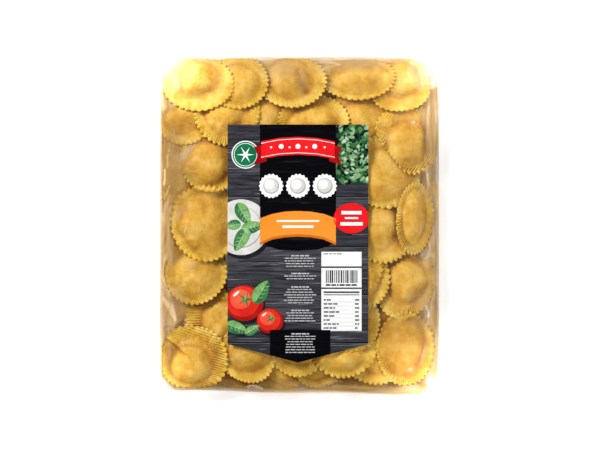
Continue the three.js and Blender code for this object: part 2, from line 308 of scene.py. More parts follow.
# %% How each rim is crimped
# The side where the crimping is deepest, in degrees round from the right, how deep it is there, how
# far in it reaches as a share of the way, and how far the rim turns up.
CRIMPED = {
    "top_one": (-50, 0.5, 0.15, 1.1), "top_two": (0, 0.8, 0.17, 0.4), "top_three": (-60, 1.0, 0.15, 0.5),
    "top_four": (-50, 0.25, 0.12, 1.2), "top_five": (-60, 0.45, 0.14, 0.4), "top_low": (-60, 0.2, 0.12, 0.2),
    "top_mid_low": (130, 1.3, 0.35, 0), "top_right_low": (200, 0.4, 0.15, 0.3),
    "left_one": (-100, 0.4, 0.15, 0.9), "left_inner": (235, 1.0, 0.18, 0.6),
    "left_two": (270, 0.6, 0.18, 1.0), "left_three": (265, 0.7, 0.17, 1.5),
    "left_four": (-70, 0.4, 0.15, 0.6), "left_lower": (165, 1.0, 0.5, 0),
    "corner_left": (45, 2.1, 0.42, 0.9), "bottom_left": (-20, 0.35, 0.13, 0.1),
    "bottom_mid": (-90, 0.7, 0.2, 0.3), "bottom_right": (-40, 0.5, 0.15, 0.7),
    "bottom_right_low": (-110, 0.4, 0.14, 0.2), "corner_right": (262, 1.7, 0.28, 1.6),
    "right_one": (238, 1.9, 0.32, 1.0), "right_two": (-90, 0.4, 0.13, 0.5),
    "right_three": (180, 1.6, 0.4, 0.4), "right_four": (-100, 0.4, 0.13, 0.5),
    "right_five": (-25, 1.3, 0.3, 0.9),
    "inner_one": (-20, 0.7, 0.2, 0.3), "inner_two": (-30, 0.7, 0.2, 0.3), "inner_three": (20, 0.7, 0.16, 0.6),
}
# The ridges of most run outwards. On these they run side by side, at this angle in degrees.
SIDE_BY_SIDE = {"corner_left": -19, "right_one": 52, "left_lower": 2}

print("crimped by hand:", len(CRIMPED), "rims; the others by chance")

# %% [markdown]
# ## The label's place
#
# The label is a card with slow waves in it. The film is stuck to it from below, and the ravioli
# under it stay clear of it, so its underside is settled before they are laid.

# %% The label's place
LABEL_LEFT, LABEL_RIGHT = -64.4, 61.6
LABEL_TOP, LABEL_LOW, LABEL_TIP = 91.1, -105.6, -122.2
LABEL_HEIGHT = 26.5
LABEL_THICKNESS = 0.4
# The height of each of its two waves, and how far it is from one crest to the next, over 2 pi.
WAVE_ONE, WAVE_ONE_LENGTH = 0.3, 21
WAVE_TWO, WAVE_TWO_LENGTH = 0.25, 27
LABEL_MIDDLE = (LABEL_LEFT + LABEL_RIGHT) / 2
LABEL_HALF = (LABEL_RIGHT - LABEL_LEFT) / 2


def label_underside(x, y):
    wave_one = WAVE_ONE * np.sin((x + 0.4 * y) / WAVE_ONE_LENGTH)
    return LABEL_HEIGHT + wave_one + WAVE_TWO * np.cos((y - 0.5 * x) / WAVE_TWO_LENGTH)


def label_low_edge(x):
    return LABEL_TIP + (LABEL_LOW - LABEL_TIP) * np.abs(x - LABEL_MIDDLE) / LABEL_HALF


def on_label(x, y, margin=0.0):
    across = (x > LABEL_LEFT - margin) & (x < LABEL_RIGHT + margin)
    return across & (y < LABEL_TOP + margin) & (y > label_low_edge(x) - margin)


print("label:", LABEL_RIGHT - LABEL_LEFT, "by", round(LABEL_TOP - LABEL_TIP, 1), "mm with its point")

# %% [markdown]
# ## One ravioli
#
# A ravioli is two rounds of pasta pressed together round a filling. Its half section is drawn
# point by point with extrudes, from the top of the filling over the rim to the middle of the
# underside, and spun round the upright axis. The rings lie closer together in the crimped rim,
# where the ridges will be.

# %% Half section
RADIUS = 29.0
SHEET = 2.6
BELLY = 2.0
FILLING_HEIGHT = 7
FILLING_SHARE = 0.66
FILLING_POWER = 2.6
FILLING_BLEND = 0.025
TEETH = 38
STEPS = TEETH * 8
TOP_SHARES = (0, 0.1, 0.2, 0.3, 0.4, 0.48, 0.54, 0.59, 0.63, 0.66, 0.69, 0.72, 0.76, 0.8, 0.84, 0.88,
              0.91, 0.94, 0.965, 0.985, 1.0)
UNDER_SHARES = (1.0, 0.985, 0.94, 0.86, 0.77, 0.66, 0.5, 0.3, 0)
RIM_ROUNDING = 0.5
RIM_BULGE = 1.006


def dome(out, height, power=FILLING_POWER):
    """The filling's height at a distance out from its middle, where 1 is its edge."""
    left = 1 - out ** power
    return height / 2 * (left + np.sqrt(left * left + FILLING_BLEND))


def half_section():
    """Points (distance out, height) round the half section, in mm."""
    over = [(s * RADIUS, SHEET / 2 + dome(s / FILLING_SHARE, FILLING_HEIGHT)) for s in TOP_SHARES[:-1]]
    edge = SHEET / 2 - RIM_ROUNDING
    rim = [(RADIUS, edge), (RADIUS * RIM_BULGE, 0), (RADIUS, -edge)]
    under = [(s * RADIUS, -SHEET / 2 - dome(s / FILLING_SHARE, BELLY)) for s in UNDER_SHARES[1:]]
    return over + rim + under


print("half section:", len(half_section()), "points")

# %% Selecting pieces and faces
def pick(*pieces):
    """Selects these pieces alone, with the first as the active one."""
    bpy.ops.object.select_all(action="DESELECT")
    for piece in pieces:
        piece.select_set(True)
    bpy.context.view_layer.objects.active = pieces[0]


def select_faces(piece, wanted):
    """Goes into edit mode with the faces selected whose vertices are all wanted."""
    bpy.ops.object.mode_set(mode="EDIT")
    bpy.ops.mesh.select_all(action="DESELECT")
    bpy.ops.object.mode_set(mode="OBJECT")
    chosen = [all(wanted[i] for i in face.vertices) for face in piece.data.polygons]
    piece.data.polygons.foreach_set("select", chosen)
    bpy.ops.object.mode_set(mode="EDIT")
    bpy.ops.mesh.select_mode(type="FACE")


def leave_faces():
    """Goes back to vertex selection and out of edit mode."""
    bpy.ops.mesh.select_mode(type="VERT")
    bpy.ops.object.mode_set(mode="OBJECT")


# %% The spun ravioli
MERGE_DISTANCE = 1e-6


def spun_ravioli():
    points = half_section()
    start = points[0]
    bpy.ops.mesh.primitive_plane_add(size=0.001, location=(start[0] * MM, 0, start[1] * MM))
    bpy.ops.object.mode_set(mode="EDIT")
    bpy.ops.mesh.merge(type="CENTER")
    for before, after in zip(points, points[1:]):
        step = ((after[0] - before[0]) * MM, 0, (after[1] - before[1]) * MM)
        bpy.ops.mesh.extrude_region_move(TRANSFORM_OT_translate={"value": step})
    bpy.ops.mesh.select_all(action="SELECT")
    bpy.ops.mesh.spin(steps=STEPS, angle=2 * math.pi, center=(0, 0, 0), axis=(0, 0, 1))
    bpy.ops.mesh.select_all(action="SELECT")
    bpy.ops.mesh.remove_doubles(threshold=MERGE_DISTANCE)
    bpy.ops.mesh.normals_make_consistent(inside=False)
    bpy.ops.mesh.faces_shade_smooth()
    bpy.ops.object.mode_set(mode="OBJECT")
    made = bpy.context.object
    bpy.ops.object.transform_apply(location=True)
    made.name = "ravioli_master"
    return made


master = spun_ravioli()
print("one ravioli:", len(master.data.polygons), "faces")

# %% A copy with a finer rim
# How far out the finer faces begin.
FINE_FROM = 0.15


def points_of(mesh):
    """A mesh's vertices as three arrays, in mm."""
    flat = np.zeros(len(mesh.vertices) * 3)
    mesh.vertices.foreach_get("co", flat)
    return flat.reshape(-1, 3).T / MM


def put_points(mesh, x, y, z):
    flat = np.stack([x, y, z], 1) * MM
    mesh.vertices.foreach_set("co", flat.astype(np.float32).ravel())
    mesh.update()


def finer_copy(piece, name):
    """A copy whose faces on the upper side are split in four, for ridges and folds that run across."""
    pick(piece)
    bpy.ops.object.duplicate()
    copy = bpy.context.object
    copy.name = name
    x, y, z = points_of(copy.data)
    select_faces(copy, (np.hypot(x, y) > FINE_FROM * RADIUS) & (z > 0))
    bpy.ops.mesh.subdivide(number_cuts=1)
    leave_faces()
    return copy


class Blank:
    """A ravioli to copy, with the place of each vertex on it: its share of the way out, its angle,
    and 1 on the upper side, 0 on the underside."""

    def __init__(self, piece):
        self.piece = piece
        x, y, z = points_of(piece.data)
        self.share = np.hypot(x, y) / RADIUS
        self.angle = np.arctan2(y, x)
        self.upper = np.clip((z + SHEET / 2 - RIM_ROUNDING) / (SHEET - 2 * RIM_ROUNDING), 0, 1)


plain_blank = Blank(master)
fine_blank = Blank(finer_copy(master, "ravioli_fine_master"))
print("with a finer rim:", len(fine_blank.piece.data.polygons), "faces")

# %% [markdown]
# ## How one ravioli differs from the next
#
# No two are alike: the rim waves, the filling is lumpy, the cutter's teeth are deeper on one side.
# Each ravioli gets a small set of waves drawn by chance, from a fixed seed. One function gives its
# upper and lower height over any point of its plan, so the same shape serves for the mesh and for
# finding out where it touches its neighbours.

# %% The crimped rim
TOOTH_DEPTH = 0.034
RIDGE_HEIGHT = 0.5
RIDGES = TEETH * 2
RIDGE_PITCH = 2.3
# Ridges and the turned-up rim fade away from the deepest side, the ridges down to a least share.
SIDE_POWER = 1.5
LEAST_RIDGE = 0.2
# Where each begins, as shares of the way out to the filling's edge or to the rim, and where it is full.
RIDGES_OFF_FILLING = (1.02, 1.16)
RIDGES_OFF_RIM = (1.02, 0.9)
TEETH_FROM = (0.84, 1)
TOOTH_WAVE_FROM = (0.9, 1)
LIP_FROM = (0.84, 1)
THIN_FROM = (0.8, 1)
# The rim is pressed thinner from above, and by a share of that from below.
THINNED = 0.5
THINNED_BELOW = 0.6
# The foot of the filling, as a share of the way out to its edge, and how wide the shade painted round it is.
FOOT_AT, FOOT_WIDTH = 1.08, 0.09
# Painted shade: how much darker grooves, the hollows between teeth, dents and the foot of the filling
# are painted, as shade falls there, as a share of the full shade.
GROOVE_SHADE = 0.2
RIM_SHADE = 0.12
DENT_SHADE = 0.08
FOOT_SHADE = 0.19

# %% Creases and dents
def crease(x, y, start, end, bend, width, rise):
    """The height of a ridge from start to end that bows sideways by bend. A pair of widths holds for
    its left and its right side, and makes a flap."""
    start, end = np.array(start, float), np.array(end, float)
    along = end - start
    length = np.hypot(*along)
    along = along / length
    t = (x - start[0]) * along[0] + (y - start[1]) * along[1]
    side = -(x - start[0]) * along[1] + (y - start[1]) * along[0]
    share = np.clip(t / length, 0, 1)
    away = side - bend * 4 * share * (1 - share)
    ends = smooth_step(0, 0.2, t / length) * smooth_step(1, 0.8, t / length)
    left, right = width if isinstance(width, tuple) else (width, width)
    return rise * ends * np.exp(-((away / np.where(away > 0, left, right)) ** 2))


# Dents and folds in single ravioli: start, end, bend, width and rise of each, in mm.
DENTS = {
    "corner_left": [((-130, -93), (-90, -125), 0.6, (12.0, 0.5), 3.2),
                    ((-130, -94.5), (-91, -126.5), 0.6, 0.9, -1.0)],
    "corner_right": [((106, -86), (103, -132), 5, 2.0, -0.4), ((80, -92), (96, -95), -2, 3, -0.6)],
    "right_one": [((112, 104), (112, 60), 3.5, (2.0, 3.6), -2.8), ((70, 90), (86, 105), 0, 0.9, -0.7)],
    "left_four": [((-112, -29), (-76, -27), 2, 2.2, -0.9), ((-104, -50), (-90, -58), 2, 2.0, -0.6)],
    "left_three": [((-100, -14), (-86, -20), 3, 3.0, -0.6), ((-96, 8), (-84, 14), 1, 2.5, 0.5)],
    "right_two": [((60, 62), (88, 38), 3, 3.0, -0.8)],
    "right_four": [((64, 10), (78, -16), -3, 3.0, -0.8), ((80, 12), (88, -10), 2, 2.5, 0.6)],
    "right_three": [((98, 26), (108, -10), 2, 2.4, 0.7)],
    "top_three": [((-3, 144), (9, 116), -1, 2.6, -2.6), ((8, 148), (18, 127), -1, 2.6, 1.4)],
    "bottom_left": [((-60, -118), (-52, -127), 0.6, 0.9, -0.7)],
    "left_inner": [((-58, 118), (-50, 104), -3, 2.5, -0.8)],
    "left_two": [((-98, 74), (-76, 80), 2, 2.5, -0.6)],
}

# %% What else sets single ravioli apart
# How flat the top of the filling is: 2 is round, more is a table with steep sides.
DOME_POWER = {"corner_right": 4.0, "right_one": 3.2, "left_three": 2.4, "right_five": 2.6, "left_two": 3.2,
              "corner_left": 3.0, "top_one": 2.6, "top_four": 1.9, "top_three": 1.8, "bottom_right": 3.6,
              "bottom_left": 2.6, "top_five": 3.4}

# Painted shade: how much darker some are painted, or lighter where it is negative, as a share of the full
# shade.
SHADED = {"bottom_mid": 0.13, "bottom_left": 0.16, "top_three": 0.08, "left_lower": 0.1, "left_two": 0.16,
          "top_mid_low": -0.1, "left_four": 0.1, "left_three": 0.16, "corner_left": 0.07,
          "corner_right": 0.26, "left_one": 0.15}

# A straighter stretch of rim: which way it faces, in degrees, and how far from the middle it is.
STRAIGHT = {"right_one": (217, 21.5), "top_four": (95, 17)}
print("dented:", len(DENTS), "ravioli")

# %% The shape of a ravioli
class Ravioli:
    """One ravioli: where it lies, its form, and what is uneven about it."""

    def __init__(self, name, row, crimped=None, run=None, straight=None, power=None, dents=(), shade=0):
        rng = np.random.default_rng([SEED, *name.encode()])
        self.shade = shade
        (self.x, self.y, self.half_w, self.half_d, turn, self.rim, self.rise_x, self.rise_y,
         self.fill_x, self.fill_y, self.fill_w, self.fill_d, self.fill_h) = row
        self.cos, self.sin = math.cos(math.radians(turn)), math.sin(math.radians(turn))
        self.dents = dents
        faces, self.straight_at = straight or (0, 1000)
        self.straight_x = math.cos(math.radians(faces - turn))
        self.straight_y = math.sin(math.radians(faces - turn))
        self.warp = rng.normal(0, 0.28, 3)
        self.warp_turn = rng.uniform(0, 2 * np.pi, 3)
        self.wobble = rng.normal(0, 0.011, 3)
        chance = (rng.uniform(0, 360), rng.uniform(0.2, 0.7), rng.uniform(0.12, 0.25), rng.uniform(0, 0.5))
        side, self.ridge_depth, self.ridge_reach, self.lip = crimped or chance
        self.ridge_side = math.radians(side)
        self.run = run
        self.tooth_turn = rng.uniform(0, 2 * np.pi)
        self.tooth_wave = rng.uniform(0.2, 0.45) + 0.3 * self.lip
        self.lump_ways = np.concatenate([rng.normal(0, 0.13, (5, 2)), rng.normal(0, 0.3, (5, 2))])
        self.lump_turns = rng.uniform(0, 2 * np.pi, 10)
        self.lump_sizes = np.concatenate([rng.uniform(0.15, 0.4, 5), rng.uniform(0.05, 0.13, 5)])
        by_chance = rng.uniform(1.8, 2.4)
        self.power = power or by_chance
        self.fill_wobble = rng.normal(0, 0.03, 3)
        self.tooth_shift = rng.normal(0, (1.6, 0.7))
        self.tooth_size = rng.uniform(0.1, 0.35)
        self.lift = None

    def turned(self, x, y):
        return x * self.cos - y * self.sin, x * self.sin + y * self.cos

    def unturned(self, x, y):
        return x * self.cos + y * self.sin, -x * self.sin + y * self.cos

    def slow_wave(self, k, angle):
        """One of three slow waves round the ravioli, between -1 and 1."""
        return np.cos((k + 2) * angle + self.warp_turn[k])

    def teeth(self, angle):
        """The phase of the teeth round the rim, which is uneven, and their size."""
        phase = TEETH * angle + self.tooth_turn
        phase = phase + self.tooth_shift[0] * np.sin(2 * angle + self.warp_turn[0])
        phase = phase + self.tooth_shift[1] * np.sin(5 * angle + self.warp_turn[1])
        return phase, 1 + self.tooth_size * np.sin(angle + self.warp_turn[2])

    def share_out(self, u, v):
        """How far out a point is: 1 at the rim, whose straighter stretch cuts the ellipse softly."""
        towards = np.maximum((u * self.straight_x + v * self.straight_y) / self.straight_at, 0)
        return (np.hypot(u / self.half_w, v / self.half_d) ** 8 + towards ** 8) ** 0.125

    def plan(self, share, angle):
        """Offsets from the middle for a share of the way out and an angle."""
        cos, sin = np.cos(angle), np.sin(angle)
        phase, size = self.teeth(angle)
        tooth = 2 * np.abs(np.cos(phase / 2)) ** 0.8 - 1
        edge = 1 + TOOTH_DEPTH * size * tooth * smooth_step(*TEETH_FROM, share)
        for k in range(3):
            edge = edge + self.wobble[k] * self.slow_wave(k, angle)
        edge = edge / self.share_out(self.half_w * cos, self.half_d * sin)
        rim_x, rim_y = self.half_w * cos * edge, self.half_d * sin * edge
        fill_x, fill_y = self.unturned(self.fill_x, self.fill_y)
        inner = np.minimum(share / FILLING_SHARE, 1)
        outer = np.maximum((share - FILLING_SHARE) / (1 - FILLING_SHARE), 0)
        x = fill_x + self.fill_w * cos * inner
        y = fill_y + self.fill_d * sin * inner
        return self.turned(x + (rim_x - x) * outer, y + (rim_y - y) * outer)

    def lumps(self, dx, dy):
        """How uneven the surface is: a sum of slanted waves, some wide and some narrow."""
        total = 0
        for size, way, turn in zip(self.lump_sizes, self.lump_ways, self.lump_turns):
            total = total + size * np.cos(way[0] * dx + way[1] * dy + turn)
        return total

    def ridges(self, dx, dy, phase, towards, fill_out, out):
        """The ridges that the crimping leaves between the filling and the rim."""
        wave = RIDGES / TEETH * phase
        if self.run is not None:
            run = math.radians(self.run)
            wave = 2 * np.pi * (dy * math.cos(run) - dx * math.sin(run)) / RIDGE_PITCH
        strength = LEAST_RIDGE + (1 - LEAST_RIDGE) * towards ** SIDE_POWER
        start = 1 - self.ridge_reach
        window = smooth_step(*RIDGES_OFF_FILLING, fill_out) * smooth_step(*RIDGES_OFF_RIM, out)
        window = window * smooth_step(start - 0.06, start + 0.04, out)
        return self.ridge_depth * (np.cos(wave) * strength) * window

    def heights(self, dx, dy):
        """Upper height, lower height, share of the way out and the painted shade of the upper side in its
        grooves, dents and hollows and round the foot of its filling, for offsets from the middle."""
        u, v = self.unturned(dx, dy)
        out, angle = self.share_out(u, v), np.arctan2(v / self.half_d, u / self.half_w)
        fill_u, fill_v = self.unturned(dx - self.fill_x, dy - self.fill_y)
        fill_out = np.hypot(fill_u / self.fill_w, fill_v / self.fill_d)
        base = self.rim + self.rise_x * dx + self.rise_y * dy
        for k in range(3):
            fill_out = fill_out * (1 + self.fill_wobble[k] * self.slow_wave(k, angle))
            base = base + self.warp[k] * self.slow_wave(k, angle) * out ** 2
        towards = 0.5 + 0.5 * np.cos(angle - self.ridge_side)
        base = base + self.lip * smooth_step(*LIP_FROM, out) * towards ** SIDE_POWER
        phase, size = self.teeth(angle)
        tooth = size * np.cos(phase) * smooth_step(*TOOTH_WAVE_FROM, out)
        ridge = self.ridges(dx, dy, phase, towards, fill_out, out)
        crimp = RIDGE_HEIGHT * ridge + self.tooth_wave * tooth
        painted_shade = GROOVE_SHADE * np.clip(-ridge, 0, 2) + RIM_SHADE * np.clip(-tooth, 0, 1)
        painted_shade = painted_shade + FOOT_SHADE * np.exp(-(((fill_out - FOOT_AT) / FOOT_WIDTH) ** 2))
        for dent in self.dents:
            depth = crease(self.x + dx, self.y + dy, *dent)
            base = base + depth
            painted_shade = painted_shade + DENT_SHADE * np.clip(-depth, 0, 4)
        thin = THINNED * smooth_step(*THIN_FROM, out)
        filling = dome(fill_out, self.fill_h, self.power)
        upper = base + SHEET - thin + filling + self.lumps(dx, dy) + crimp
        lower = base + thin * THINNED_BELOW - dome(fill_out, BELLY)
        return upper, lower, out, painted_shade


# %% [markdown]
# ## Settling
#
# The heap is built on a square grid of heights, 1 mm apart. Each ravioli is laid over the heights
# below it. Where it would cut into them it is lifted, and the lift spreads out softly round the
# spot, which bends the ravioli over its neighbours. Under the label it is pressed flat.

# %% The grid of heights
GRID_STEP = 1.0
GRID_X = np.arange(-134, 134 + GRID_STEP / 2, GRID_STEP)
GRID_Y = np.arange(-161, 161 + GRID_STEP / 2, GRID_STEP)
MESH_X, MESH_Y = np.meshgrid(GRID_X, GRID_Y)
print("grid:", MESH_X.size, "heights")


def sample(field, x, y):
    """A grid field at any points, between its values."""
    col = np.clip((x - GRID_X[0]) / GRID_STEP, 0, len(GRID_X) - 1.001)
    row = np.clip((y - GRID_Y[0]) / GRID_STEP, 0, len(GRID_Y) - 1.001)
    c, r = col.astype(int), row.astype(int)
    fc, fr = col - c, row - r
    low = field[r, c] * (1 - fc) + field[r, c + 1] * fc
    high = field[r + 1, c] * (1 - fc) + field[r + 1, c + 1] * fc
    return low * (1 - fr) + high * fr


def neighbour_mean(field):
    edge = np.pad(field, 1, mode="edge")
    return (edge[:-2, 1:-1] + edge[2:, 1:-1] + edge[1:-1, :-2] + edge[1:-1, 2:]) / 4


def widest(field):
    """The highest of each cell and its eight neighbours."""
    edge = np.pad(field, 1, mode="edge")
    rows, cols = field.shape
    return np.max([edge[r:r + rows, c:c + cols] for r in range(3) for c in range(3)], axis=0)


# %% Settling
CLEARANCE = 0.15
SPREAD_STEPS = 70
SPREAD_LOSS = 0.985
FLOOR_OF_PACK = 0.5
TOP_OF_PACK = 26.6
LABEL_MARGIN = 3
LABEL_GAP = 0.7
CEILING_SOFTNESS = 0.6
INSIDE = 1.02

below_label = np.minimum(label_underside(MESH_X, MESH_Y) - LABEL_GAP, TOP_OF_PACK)
CEILING = np.where(on_label(MESH_X, MESH_Y, LABEL_MARGIN), below_label, TOP_OF_PACK)
heap = np.full(MESH_X.shape, FLOOR_OF_PACK)


def pressed_down(z, ceiling):
    """Heights kept softly under a ceiling."""
    return ceiling - CEILING_SOFTNESS * np.logaddexp(0, (ceiling - z) / CEILING_SOFTNESS)


def lay(ravioli):
    """Lays a ravioli on the heap and keeps the lift that it needed."""
    global heap
    upper, lower, out, _ = ravioli.heights(MESH_X - ravioli.x, MESH_Y - ravioli.y)
    inside = out < INSIDE
    short = np.where(inside, heap + CLEARANCE - lower, 0)
    short = np.maximum(short, 0)
    lift = short.copy()
    for _ in range(SPREAD_STEPS):
        lift = np.maximum(short, neighbour_mean(lift) * SPREAD_LOSS)
    ravioli.lift = lift
    heap = np.where(inside, np.maximum(heap, pressed_down(upper + lift, CEILING)), heap)
    return float(short.max())


# %% The heap
lower_ravioli = [Ravioli(f"lower_{i}", row) for i, row in enumerate(LOWER)]
shown_ravioli = {}
for name, row in SHOWN.items():
    ways = [table.get(name) for table in (CRIMPED, SIDE_BY_SIDE, STRAIGHT, DOME_POWER)]
    shown_ravioli[name] = Ravioli(name, row, *ways, DENTS.get(name, ()), SHADED.get(name, 0))
lifts = {"lower": max(lay(ravioli) for ravioli in lower_ravioli)}
lifts.update({name: lay(ravioli) for name, ravioli in shown_ravioli.items()})
print("lifts", {name: round(lift, 1) for name, lift in lifts.items()})
print("heap", round(float(heap.max()), 2), "mm high")
open_floor = (heap < 2) & (side_of(MESH_X, MESH_Y)[3] > 5) & ~on_label(MESH_X, MESH_Y)
print("the pack's floor shows over", round(100 * float(open_floor.mean()), 2), "% of the plan")

# %% [markdown]
# ## The ravioli as meshes
#
# Each one is a copy of the spun ravioli with a mesh of its own, whose vertices are moved to the
# shape and place worked out above. The lower ones are seen only through gaps and from below, and
# are joined into one piece.

# %% The ravioli as meshes
CEILING_STEPS = 12
# The heap's skin, under which the colour is painted darker as shade: how much it is smoothed, how high it may
# stand under the label, and the depth where the painted shade is full.
SKIN_STEPS = 40
HEAP_UNDER_LABEL = 19
DEEPEST = 12.0
# Where the rim begins and where it is full, and the share of a ravioli's painted shade kept off its rim.
RIM_FROM, RIM_TO = 0.7, 0.92
SHADE_KEPT_OFF_RIM = 0.75
LOWER_DETAIL = 0.35


def softened(field, times):
    for _ in range(times):
        field = neighbour_mean(field)
    return field


CEILING_SMOOTH = softened(CEILING, CEILING_STEPS)
heap_skin = np.where(on_label(MESH_X, MESH_Y), np.minimum(heap, HEAP_UNDER_LABEL), widest(heap))
HEAP_SKIN = softened(heap_skin, SKIN_STEPS)


def keep_values(piece, name, values):
    """Keeps a value between 0 and 1 for each vertex on the mesh, for its material to read."""
    layer = piece.data.attributes.new(name, "FLOAT", "POINT")
    layer.data.foreach_set("value", np.clip(values, 0, 1).astype(np.float32))


def shape_copy(ravioli, name):
    """The mesh of one ravioli, with how deep in the pack, how much painted shade and how near the rim it is.
    """
    blank = plain_blank if ravioli.run is None else fine_blank
    pick(blank.piece)
    bpy.ops.object.duplicate()
    piece = bpy.context.object
    piece.name = name
    dx, dy = ravioli.plan(blank.share, blank.angle - ravioli.tooth_turn / TEETH)
    upper, lower, out, painted_shade = ravioli.heights(dx, dy)
    x, y = ravioli.x + dx, ravioli.y + dy
    lift = sample(ravioli.lift, x, y)
    ceiling = sample(CEILING_SMOOTH, x, y)
    z = lower + (upper - lower) * blank.upper + lift
    z = pressed_down(z, ceiling - (1 - blank.upper) * SHEET)
    put_points(piece.data, *packed(x, y, z))
    rim = smooth_step(RIM_FROM, RIM_TO, out)
    # Painted shade: the depth under the heap's skin darkens the colour as shade deep in the pack, and the
    # shade of the ravioli and of its grooves darkens it too, kept partly off the rim.
    keep_values(piece, "depth", (sample(HEAP_SKIN, x, y) - z) / DEEPEST)
    keep_values(piece, "shade", ravioli.shade * (1 - SHADE_KEPT_OFF_RIM * rim) + painted_shade)
    keep_values(piece, "rim", rim)
    return piece


def joined(pieces, name):
    pick(*pieces)
    bpy.ops.object.join()
    whole = bpy.context.object
    whole.name = name
    return whole


shown_pieces = [shape_copy(ravioli, "ravioli_" + name) for name, ravioli in shown_ravioli.items()]

# The lower ones need fewer faces, so a Decimate modifier thins them out.
lower_pieces = [shape_copy(ravioli, f"ravioli_lower_{i}") for i, ravioli in enumerate(lower_ravioli)]
lower_piece = joined(lower_pieces, "ravioli_lower_layer")
thin_out = lower_piece.modifiers.new("thin_out", "DECIMATE")
thin_out.ratio = LOWER_DETAIL
bpy.context.view_layer.objects.active = lower_piece
bpy.ops.object.modifier_apply(modifier="thin_out")
bpy.data.objects.remove(plain_blank.piece)
bpy.data.objects.remove(fine_blank.piece)
print("shown:", len(shown_pieces), "pieces; lower layer:", len(lower_piece.data.polygons), "faces")

# %% [markdown]
# ## Materials
#
# All materials are built from a few kinds of node. Each function below makes one node, links it to
# what feeds it, and returns the socket that comes out of it, so a material reads from top to bottom.

# %% Nodes
PLAIN = (1, 1, 1)


def new_material(name):
    material = bpy.data.materials.new(name)
    material.use_nodes = True
    return material, material.node_tree.nodes, material.node_tree.links


def paint(piece, material):
    """Gives a piece its one material."""
    piece.data.materials.clear()
    piece.data.materials.append(material)


def feed(links, socket, value):
    """Links a socket to the one that feeds it, or sets it to a plain value."""
    if isinstance(value, bpy.types.NodeSocket):
        links.new(value, socket)
    else:
        socket.default_value = value


def attribute(nodes, name):
    """A value kept on the mesh."""
    node = nodes.new("ShaderNodeAttribute")
    node.attribute_name = name
    return node.outputs["Fac"]


def math_node(nodes, links, operation, *values):
    node = nodes.new("ShaderNodeMath")
    node.operation = operation
    for socket, value in zip(node.inputs, values):
        feed(links, socket, value)
    return node.outputs[0]


def noise(nodes, links, vector, scale, detail, roughness):
    node = nodes.new("ShaderNodeTexNoise")
    node.inputs["Scale"].default_value = scale
    node.inputs["Detail"].default_value = detail
    node.inputs["Roughness"].default_value = roughness
    links.new(vector, node.inputs["Vector"])
    return node.outputs["Fac"]


def ramp(nodes, links, value, stops):
    """A colour that goes from stop to stop, each a place and a colour."""
    node = nodes.new("ShaderNodeValToRGB")
    elements = node.color_ramp.elements
    while len(elements) < len(stops):
        elements.new(0.5)
    for element, (place, colour) in zip(elements, stops):
        element.position = place
        element.color = (*colour, 1)
    links.new(value, node.inputs["Fac"])
    return node.outputs["Color"]


def colour_mix(nodes, links, blend, share, first, second):
    node = nodes.new("ShaderNodeMix")
    node.data_type = "RGBA"
    node.blend_type = blend
    for name, value in (("Factor", share), ("A", first), ("B", second)):
        feed(links, node.inputs[name], value)
    return node.outputs["Result"]


def shader_mix(nodes, links, share, first, second):
    node = nodes.new("ShaderNodeMixShader")
    for socket, value in zip(node.inputs, (share, first, second)):
        links.new(value, socket)
    return node.outputs["Shader"]


# %% [markdown]
# ## Pasta
#
# Egg pasta is golden, a little uneven in colour, and dull with a faint sheen where it is smooth. Light
# goes a short way into it, which softens the shadows. Shade is also painted into the colour: what lies
# deep in the pack, grooves, dents and the foot of the filling are painted browner, and some ravioli
# darker. The thin rims are paler. Fine pits and grain come from bump.

# %% Pasta
PASTA_TONES = [(0.34, (0.53, 0.255, 0.02)), (0.5, (0.685, 0.39, 0.055)), (0.64, (0.79, 0.515, 0.13))]
SPECK = (0.5, 0.27, 0.03)
DEEP_SHADE_TINT = (0.55, 0.28, 0.01)
SHADE_TINT = (0.6, 0.48, 0.3)
RIM_TINT = (1.03, 1.16, 1.12)
# What the colour is multiplied by: by which value kept on the mesh, from where and up to where.
# Depth and shade paint shade into the colour, and the rim makes the thin rims paler.
TINTS = (("depth", 0.08, 0.48, DEEP_SHADE_TINT), ("shade", 0, 0.4, SHADE_TINT), ("rim", 0, 1, RIM_TINT))
TONE_SCALE = 60
SPECK_SCALE = 520
LUMP_SCALE = 210
GRAIN_SCALE = 900
LUMPS_TO_GRAIN = 3.5
PIT_DEPTH = 0.0006


